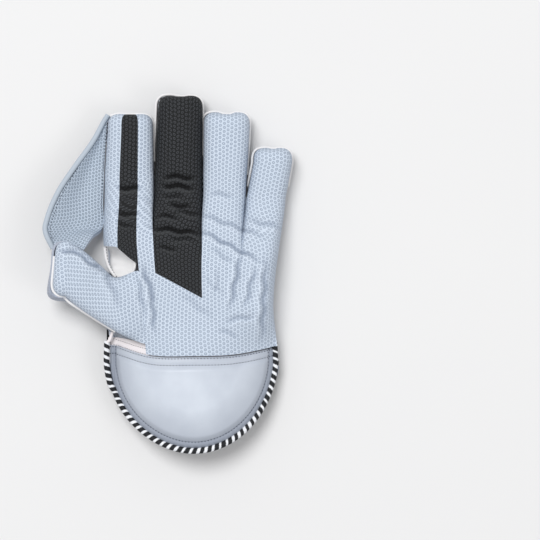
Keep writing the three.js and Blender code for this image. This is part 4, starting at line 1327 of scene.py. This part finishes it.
for finger, shape in enumerate(FINGERS):
    finger_back(finger)
    welt = tube(f"{shape['name']}_welt_leather", welt_path(finger), WELT, white_leather.material)
    fitted(welt, "white_leather", f"{shape['name']}_welt")

# Thumb back: padded leather that rises from the hand's back and swells past the outer seam, with its own
# sewn protector over the tip.
BACK_JOIN = (0.42, 0.62)
TIP_SWELL = 4.5  # how far it swells past the facing's tip
SIDE_SWELL = 1.6  # and past its outer side
THUMB_ROOT = (0.285, 0.05)  # shares of the hand's length between which it is sewn to the back
THUMB_CAP = (0.82, 1.5)  # rows between which the protector lies


def thumb_back_point(degrees, row):
    share = (degrees + 90) / 180
    y = HAND_LENGTH * lerp(*THUMB_ROOT, share)
    rim = Vector((back_side(-1, y) + BACK_WALL / 3, y, SEAM_HEIGHT + SEAM_GAP))
    free = thumb_point(degrees, row, under=True)
    _, chord, _, ahead, *_ = thumb_section(row)
    outer = ease(degrees, -40, 40)
    free += ahead * (TIP_SWELL * outer * math.sin(math.pi * clamp(row - 1)) * above(degrees) ** 0.5)
    free += chord * (SIDE_SWELL * outer * math.sin(math.pi * clamp((row - 0.6) / 1.4)))
    free.z -= SEAM_GAP
    return rim.lerp(free, ease(row, *BACK_JOIN))


thumb_back_rows = [
    *steps(BACK_JOIN[0], BACK_JOIN[1], 20),
    *steps(BACK_JOIN[1], 1, 20)[1:],
    *turned_rows(1, 28),
]
mesh_leather = Finish("thumb_back_leather", Specular_IOR_Level=0.35)
mesh_base = leather(mesh_leather, colour(150, 157, 172), colour(176, 183, 197), colour(128, 134, 150), 2.0)
mesh_x, mesh_y = mesh_leather.split(mesh_leather.place())
holes = ((mesh_x + mesh_y) * 2.4).wave() * ((mesh_x - mesh_y) * 2.4).wave()
mesh_leather.set(Base_Color=mesh_leather.blend((holes * 0.8).held(), mesh_base, colour(104, 110, 126)))
thumb_back_angles = even_angles(44, -90, 90)
thumb_back_points = grid(lambda r: [thumb_back_point(a, r) for a in thumb_back_angles], thumb_back_rows)
thumb_back = sewn(
    "thumb_back_padded", [patch(thumb_back_points)], BACK_WALL - 1, mesh_leather.material, DOWN, 0.5
)
fitted(thumb_back, "pale_leather", "thumb_back")
cap_rows = [*steps(THUMB_CAP[0], 1, 10), *[r for r in thumb_back_rows if 1 < r < THUMB_CAP[1]]]
cap_angles = even_angles(44, -48, 38)
thumb_cap_points = grid(lambda row: [thumb_back_point(a, row) for a in cap_angles], cap_rows)
thumb_cap_points = behind(thumb_cap_points, -CAP_WALL - SEAM_GAP, DOWN)
thumb_cap = sewn("thumb_cap_leather", [patch(thumb_cap_points)], CAP_WALL, back_leather.material, DOWN)
fitted(thumb_cap, "pale_leather", "thumb_cap")

# Raw edge of the thumb facing: the rubber is glued to white leather, whose cut edge shows as a thin white
# line along the thumb's outer side and round its tip.
EDGE_STRIP = 2.4
EDGE_OUT = 1.4  # how far its middle lies outside the rubber's edge
EDGE_DOWN = 1.0  # and below it
edge_rows = [i for i, row in enumerate(thumb_rows) if row > 0.34]
edge_path = [thumb_points[i, -1] for i in edge_rows]
edge_path += [thumb_points[-1, k] for k in range(len(thumb_angles) - 2, len(thumb_angles) // 5, -2)]
edge_centre = np.mean(edge_path, axis=0)
edge_path = [p + level(p - edge_centre) * EDGE_OUT - (0, 0, EDGE_DOWN) for p in edge_path]
thumb_edge = tube("thumb_edge_leather", smooth_path(edge_path, 1.2), EDGE_STRIP, white_leather.material)
fitted(thumb_edge, "white_leather")

# Gusset: soft white leather that closes the fork between the index finger and the thumb, in folds. It is
# sewn to the back of the hand below and to the edge of the palm's rubber above, where it rolls over.
GUSSET_FOOT = (0.385, 0.31)  # shares of the hand's length between which it is sewn to the back
GUSSET_ROLL = 2.8  # thickness of the fold that rolls over at its upper edge
GUSSET_SINK = 3  # how far it sags between its seams
GUSSET_FOLD = 0.7  # height of its folds


def gusset_path():
    path = [plain_facing_point(0, a, CUT + 0.04) for a in (-80, -56, -30, -8, 6)]
    for row in (0.12, 0.2, 0.3):
        edge = Vector(plain_facing_point(0, STRIP_ANGLE + 0.4, CUT - 0.07))
        edge.x -= 4 * SEAM_GAP
        path.append(edge.lerp(thumb_point(-90, row), ease(row, 0, THUMB_JOIN)))
    return smooth_path([np.array(p) - (0, 0, FACING_WALL + 2 * SEAM_GAP) for p in path], 0.5)


gusset_top = gusset_path()


def gusset_row(row):
    line = []
    for share in steps(0.04, 0.96, 44):
        top = gusset_top[int(share * (len(gusset_top) - 1))]
        y = HAND_LENGTH * lerp(*GUSSET_FOOT, share)
        foot = np.array([back_side(-1, y) + BACK_WALL / 2, y, SEAM_HEIGHT + LINING_WALL + SEAM_GAP])
        point = lerp(foot, top, row)
        point[2] -= GUSSET_SINK * math.sin(math.pi * row) * math.sin(math.pi * share)
        point[2] += GUSSET_FOLD * math.sin(share * 19 + row * 5) * math.sin(math.pi * row)
        line.append(point)
    return line


gusset_points = grid(gusset_row, steps(0, 1, 24))
gusset = sewn("gusset_leather", [patch(gusset_points)], LINING_WALL, white_leather.material, bevel=0.3)
fitted(gusset, "white_leather", "crotch_gusset")
fold_path = [(-74.9, 82, 26), (-74.6, 77, 24), (-73.6, 71, 23)]
fold_path += [(-71.6, 65.5, 23), (-68.6, 60.5, 25), (-65.5, 57, 27)]
fold_path = smooth_path(fold_path, 1.0)
gusset_fold = tube("gusset_fold", fold_path, GUSSET_ROLL, white_leather.material)
fitted(gusset_fold, "white_leather")
flat, area = cut_size(gusset_points)

# Catching web: a layer of pimpled rubber on a layer of leather, between the index finger and the thumb,
# with a rolled binding along its free edge. It is cut round the thumb, where it is sewn on.
WEB_WALL = 1.7
WEB_SEAM_HEIGHT = 17
WEB_SAG = 5
WEB_BINDING = 4.4
BINDING_ROOM = WEB_BINDING + 2 * SEAM_GAP  # width of the room cut for it in the web
# From the index fingertip down to the thumb: inner and outer edge as shares of the hand.
WEB = [
    dict(at=0, inner_x=-0.477, inner_y=0.9, outer_x=-0.482, outer_y=0.908, rise=0),
    dict(at=0.2, inner_x=-0.486, inner_y=0.8, outer_x=-0.553, outer_y=0.812, rise=0.2),
    dict(at=0.4, inner_x=-0.494, inner_y=0.69, outer_x=-0.649, outer_y=0.712, rise=0.45),
    dict(at=0.6, inner_x=-0.4995, inner_y=0.57, outer_x=-0.739, outer_y=0.609, rise=0.7),
    dict(at=0.8, inner_x=-0.503, inner_y=0.47, outer_x=-0.798, outer_y=0.5, rise=0.9),
    dict(at=0.9, inner_x=-0.55, inner_y=0.44, outer_x=-0.804, outer_y=0.45, rise=1.0),
    dict(at=1, inner_x=-0.6, inner_y=0.38, outer_x=-0.755, outer_y=0.375, rise=1.05),
]
web_table = columns(WEB)


def web_point(share, at):
    x = HAND_WIDTH * lerp(web_table["inner_x"](at), web_table["outer_x"](at), share)
    y = HAND_LENGTH * lerp(web_table["inner_y"](at), web_table["outer_y"](at), share)
    rise = web_table["rise"](at) * max(share**1.2, ease(at, 0.78, 1))
    height = lerp(WEB_SEAM_HEIGHT, THUMB_HEIGHT * 0.8, rise)
    sag = WEB_SAG * math.sin(math.pi * share) ** 2 * math.sin(math.pi * at)
    return x, y, height - sag


def binding_path():
    path = [np.array([FINGERS[0]["tip_left"] * HAND_WIDTH, 0.922 * HAND_LENGTH, WEB_SEAM_HEIGHT - 1])]
    for at in steps(0.02, 0.985, 40):
        p = np.array(web_point(1, at))
        path.append(p + level(p - web_point(0.9, at)) * 0.5 - (0, 0, WEB_WALL / 2))
    return smooth_path(path, 1.2)


def cut_away(piece, tool):
    cut = piece.modifiers.new("cut", "BOOLEAN")
    cut.operation = "DIFFERENCE"
    cut.solver = "EXACT"
    cut.use_self = True
    cut.use_hole_tolerant = True
    cut.object = tool
    settle(piece)


def thumb_shape(room, cap_room):
    """The thumb's outer shape as one closed form, with some room round it."""
    rows = [*steps(0.4, 1, 14), *turned_rows(1, 16)]
    angles = even_angles(28, -90, 90)
    top = grid(lambda row: [thumb_point(a, row, False, room) for a in angles], rows)
    low = grid(lambda row: [thumb_point(a, row, True, room, cap_room) for a in angles], rows)
    bm = bmesh.new()
    for points in (top, low):
        made = [[bm.verts.new(Vector(p) * MM) for p in line] for line in points]
        for i in range(len(rows) - 1):
            for j in range(len(angles) - 1):
                bm.faces.new((made[i][j], made[i][j + 1], made[i + 1][j + 1], made[i + 1][j]))
    bmesh.ops.remove_doubles(bm, verts=bm.verts, dist=0.02 * MM)
    bmesh.ops.dissolve_degenerate(bm, edges=bm.edges, dist=0.005 * MM)
    bmesh.ops.holes_fill(bm, edges=[e for e in bm.edges if e.is_boundary])
    bmesh.ops.recalc_face_normals(bm, faces=bm.faces)
    return new_object("thumb_shape", made_mesh("thumb_shape", bm))


web_rubber = Finish("web_pimpled_rubber", Specular_IOR_Level=0.35)
pimples(
    web_rubber,
    # ring colour, painted shade of the groove round each pimple
    colour(98, 111, 127),
    colour(184, 196, 210),
    colour(146, 159, 173),
    # painted shade inside a crease, then painted highlight on a fold's top
    colour(92, 102, 115),
    colour(208, 219, 231),
    0.85,
)
web_rows = steps(0, 1, 100)
web_columns = steps(0, 1, 44)
web_points = grid(lambda row: [web_point(share, row) for share in web_columns], web_rows)
WEB_PRINT = 13  # width of the herringbone along the web's outer edge
web_print = Finish("printed_web_leather", Specular_IOR_Level=0.45)
web_base = leather(web_print, *BACK_TONES)
_, _, web_along = web_print.sheet()
web_in = web_print.mark("rim")
web_marks = herringbone(web_in, web_along, WEB_PRINT / 2, 2 * CHEVRON_SLOPE)
web_marks = web_marks * (1 - web_in.above(WEB_PRINT, 0.3)) + between(web_in, WEB_PRINT + 3, WEB_PRINT + 7)
web_print.set(Base_Color=web_print.blend(web_marks.held(), web_base, PRINT_INK))
web_run = lengths(web_points, 1)
web_tool = thumb_shape(2 * SEAM_GAP, CAP_WALL + 3 * SEAM_GAP)
binding_tool = tube("binding_room", binding_path(), BINDING_ROOM, pale_leather.material, sides=12)
web_facing = sewn("web_rubber_sheet", [patch(web_points)], WEB_WALL, web_rubber.material, bevel=0)
web_back = sewn(
    "web_leather_sheet",
    [patch(behind(web_points, WEB_WALL + SEAM_GAP, UP), rim=web_run[:, -1:] - web_run)],
    WEB_WALL,
    web_print.material,
    bevel=0,
)
binding_leather = Finish("binding_leather", Specular_IOR_Level=0.4)
leather(binding_leather, colour(198, 207, 216), colour(220, 228, 235), colour(172, 182, 193))
web_binding = tube("web_binding_roll", binding_path(), WEB_BINDING, binding_leather.material, sides=14)
for piece in (web_facing, web_back):
    cut_away(piece, web_tool)
    cut_away(piece, binding_tool)
    piece.data.set_sharp_from_angle(angle=math.radians(60))
cut_away(web_binding, web_tool)
for tool in (web_tool, binding_tool):
    bpy.data.objects.remove(tool)
fitted(web_facing, "pale_rubber", "web_facing")
fitted(web_back, "pale_leather", "web_leather")
fitted(web_binding, "pale_leather", "web_binding")

# Seams: rows of stitches in dark thread along the cuff's band and margin, the web, the lining in the slit,
# the gusset and the back. Each stitch is a short bead of thread pressed into the leather.


def stitch_tree():
    """Beads of thread at even steps along every line of the mesh that it is given."""
    tree = bpy.data.node_groups.new("row_of_stitches", "GeometryNodeTree")
    tree.interface.new_socket("Lines", in_out="INPUT", socket_type="NodeSocketGeometry")
    sizes = {
        name: tree.interface.new_socket(name, in_out="INPUT", socket_type="NodeSocketFloat")
        for name in ("Step", "Length", "Thread")
    }
    thread = tree.interface.new_socket("Finish", in_out="INPUT", socket_type="NodeSocketMaterial")
    tree.interface.new_socket("Stitches", in_out="OUTPUT", socket_type="NodeSocketGeometry")
    given = tree.nodes.new("NodeGroupInput")
    result = tree.nodes.new("NodeGroupOutput")
    line = tree.nodes.new("GeometryNodeMeshToCurve")
    spaced = tree.nodes.new("GeometryNodeResampleCurve")
    spaced.mode = "LENGTH"
    tangent = tree.nodes.new("GeometryNodeInputTangent")
    turned = tree.nodes.new("FunctionNodeAlignRotationToVector")
    turned.axis = "X"
    bead = tree.nodes.new("GeometryNodeMeshUVSphere")
    bead.inputs["Segments"].default_value = 8
    bead.inputs["Rings"].default_value = 5
    bead.inputs["Radius"].default_value = 0.5
    size = tree.nodes.new("ShaderNodeCombineXYZ")
    placed = tree.nodes.new("GeometryNodeInstanceOnPoints")
    real = tree.nodes.new("GeometryNodeRealizeInstances")
    dressed = tree.nodes.new("GeometryNodeSetMaterial")
    for start, end in (
        (given.outputs["Lines"], line.inputs["Mesh"]),
        (line.outputs["Curve"], spaced.inputs["Curve"]),
        (given.outputs["Step"], spaced.inputs["Length"]),
        (spaced.outputs["Curve"], placed.inputs["Points"]),
        (tangent.outputs["Tangent"], turned.inputs["Vector"]),
        (turned.outputs["Rotation"], placed.inputs["Rotation"]),
        (bead.outputs["Mesh"], placed.inputs["Instance"]),
        (given.outputs["Length"], size.inputs["X"]),
        (given.outputs["Thread"], size.inputs["Y"]),
        (given.outputs["Thread"], size.inputs["Z"]),
        (size.outputs[0], placed.inputs["Scale"]),
        (placed.outputs["Instances"], real.inputs["Geometry"]),
        (real.outputs["Geometry"], dressed.inputs["Geometry"]),
        (given.outputs["Finish"], dressed.inputs["Material"]),
        (dressed.outputs["Geometry"], result.inputs["Stitches"]),
    ):
        tree.links.new(start, end)
    return tree, {name: socket.identifier for name, socket in (*sizes.items(), ("Finish", thread))}


stitches, stitch_inputs = stitch_tree()
dark_thread = Finish("dark_thread", Roughness=0.8, Specular_IOR_Level=0.25)
thread_tone = dark_thread.noise(dark_thread.place(), 1.5)
dark_thread.set(Base_Color=dark_thread.blend(thread_tone, colour(34, 37, 46), colour(84, 90, 104)))


def stitched(name, lines, step, length, thread):
    """Rows of stitches along lines of points, in one piece, with the pitch and size of one stitch."""
    mesh = bpy.data.meshes.new(name)
    points = [tuple(np.array(p) * MM) for line in lines for p in line]
    edges, start = [], 0
    for line in lines:
        edges += [(start + k, start + k + 1) for k in range(len(line) - 1)]
        start += len(line)
    mesh.from_pydata(points, edges, [])
    piece = new_object(name, mesh)
    sewing = piece.modifiers.new("stitches", "NODES")
    sewing.node_group = stitches
    for label, value in dict(Step=step, Length=length, Thread=thread).items():
        sewing[stitch_inputs[label]] = value * MM
    sewing[stitch_inputs["Finish"]] = dark_thread.material
    settle(piece)
    fitted(piece, "black_tab")


def laid_on(piece, line, side=1, lift=0.05):
    """Drops a line of points straight onto a piece, from above (side 1) or from below (-1)."""
    bpy.context.view_layer.update()
    found = []
    for p in line:
        start = Vector((p[0] * MM, p[1] * MM, side * 0.2))
        hit, spot, _, _ = piece.ray_cast(start, Vector((0, 0, -side)))
        if hit:
            found.append(np.array(spot) / MM + (0, 0, side * lift))
    return found


def beside(line, distance):
    """A line in plan that keeps a distance to the left of another."""
    line = np.array(line, dtype=float)
    ahead = np.gradient(line, axis=0)
    left = np.stack([-ahead[:, 1], ahead[:, 0], 0 * ahead[:, 0]], axis=1)
    return line + left / (np.linalg.norm(left, axis=1, keepdims=True) + 1e-9) * distance


band_top = [cuff_point(a, 0) for a in cuff_angles]
cuff_lines = [laid_on(cuff, [(x, y - line) for x, y, _ in band_top]) for line in BAND_ROWS]
outline = smooth_path(cuff_edge[::3], 1.0)
cuff_lines.append(laid_on(cuff, beside(outline, MARGIN_ROW)))
stitched("cuff_stitches", cuff_lines, step=2.7, length=1.45, thread=0.8)
web_lines = [
    laid_on(web_facing, [web_point(share, at) for at in steps(start, end, count)])
    for share, start, end, count in ((0.91, 0.06, 0.93, 150), (0.035, 0.03, 0.72, 120))
]
stitched("web_stitches", web_lines, step=2.6, length=1.5, thread=0.7)
slit_top = [cuff_point(a, 0) for a in steps(-80, -36, 60)]
slit_lines = [laid_on(cuff_lining, [(x, y + shown) for x, y, _ in slit_top]) for shown in (5.2, 0.6)]
stitched("slit_stitches", slit_lines, step=2.2, length=1.4, thread=0.5)
gusset_line = [p + (1.3, 0.2, 0.9) for p in fold_path]
stitched("gusset_stitches", [gusset_line], step=2.4, length=1.3, thread=0.5)

# Seams and quilting lines sewn through the back: their corners in millimetres across and along the hand,
# and the short slanting ribs that are quilted into the gauntlet's outer side.
BACK_SEAMS = [
    [(-67, 134), (-66, 90), (-63, 60), (-63, 4)],
    [(66, 116), (63, 80), (61, 40), (62, 8)],
    [(14, 106), (47, 82)],
    [(14, 100), (47, 76)],
    [(14, 74), (46, 47)],
    [(47, 82), (46, 42), (30, 32), (13, 41)],
    [(60, 19), (30, -6), (26, -46), (46, -58)],
    [(52, 4), (52, -42)],
    [(-58, -4), (-58, -30)],
]
RIB_STEP = 2.6
ribs = [[(52.5, y), (62 - 0.012 * y * y, y + 3)] for y in np.arange(-36, 4, RIB_STEP)]


def straight_runs(corners):
    """Points along the straight stretches from corner to corner, 40 to each."""
    corners = np.array(corners, dtype=float)
    spots = np.linspace(0, len(corners) - 1, 40 * (len(corners) - 1))
    return np.stack([np.interp(spots, range(len(corners)), corners[:, axis]) for axis in (0, 1)], axis=1)


back_lines = [laid_on(hand_back, straight_runs(seam), side=-1) for seam in BACK_SEAMS + ribs]
back_lines = [line for line in back_lines if len(line) > 1]
stitched("back_stitches", back_lines, step=2.4, length=1.5, thread=0.55)

# Floor, light and camera: the glove lies on a plain pale surface under broad soft lamps, and the camera
# looks straight down on it.
PIXEL = 0.84  # millimetres to one pixel of the frame
VIEW_CENTRE = (63.8, 63.0)
CAMERA_HEIGHT = 2600
FOCUS_HEIGHT = 25  # height in the glove at which the scale of the frame is true
FRAME = 540  # pixels
SENSOR = 36  # width of the camera's sensor
FLOOR_REACH = 3.0  # metres each way
STUDIO_LIGHT = 0.53  # strength of the even white light from all round
floor_finish = Finish("pale_floor", Roughness=0.9)
floor_tone = floor_finish.noise(floor_finish.place(), 0.004, 2.0)
floor_finish.set(Base_Color=floor_finish.blend(floor_tone, colour(222, 222, 222), colour(219, 219, 220)))
floor_mesh = bpy.data.meshes.new("floor")
floor_corners = [(FLOOR_REACH * x, FLOOR_REACH * y, 0) for x, y in ((-1, -1), (1, -1), (1, 1), (-1, 1))]
floor_mesh.from_pydata(floor_corners, [], [(0, 1, 2, 3)])
floor_mesh.materials.append(floor_finish.material)
floor = new_object("floor", floor_mesh)
floor.location.z = -0.2 * MM


def lamp(name, place, size, power, aim=(0, 0.06, 0.02)):
    light = bpy.data.lights.new(name, "AREA")
    light.shape = "DISK"
    light.size = size
    light.energy = power
    lit = bpy.data.objects.new(name, light)
    bpy.context.scene.collection.objects.link(lit)
    lit.location = place
    lit.rotation_euler = (Vector(aim) - Vector(place)).to_track_quat("-Z", "Y").to_euler()


lamp("key_lamp", (-1.2, 1.8, 4.9), size=2.6, power=205)
lamp("fill_lamp", (3.0, -1.5, 3.2), size=2.0, power=26)
world = bpy.data.worlds.new("studio")
bpy.context.scene.world = world
world.use_nodes = True
world.node_tree.nodes["Background"].inputs["Color"].default_value = (1, 1, 1, 1)
world.node_tree.nodes["Background"].inputs["Strength"].default_value = STUDIO_LIGHT
bpy.context.scene.view_settings.view_transform = "Standard"

lens = bpy.data.cameras.new("camera")
camera = bpy.data.objects.new("camera", lens)
bpy.context.scene.collection.objects.link(camera)
camera.location = (VIEW_CENTRE[0] * MM, VIEW_CENTRE[1] * MM, CAMERA_HEIGHT * MM)
lens.sensor_width = SENSOR
lens.lens = SENSOR * (CAMERA_HEIGHT - FOCUS_HEIGHT) / (FRAME * PIXEL)
lens.clip_end = 20
bpy.context.scene.camera = camera
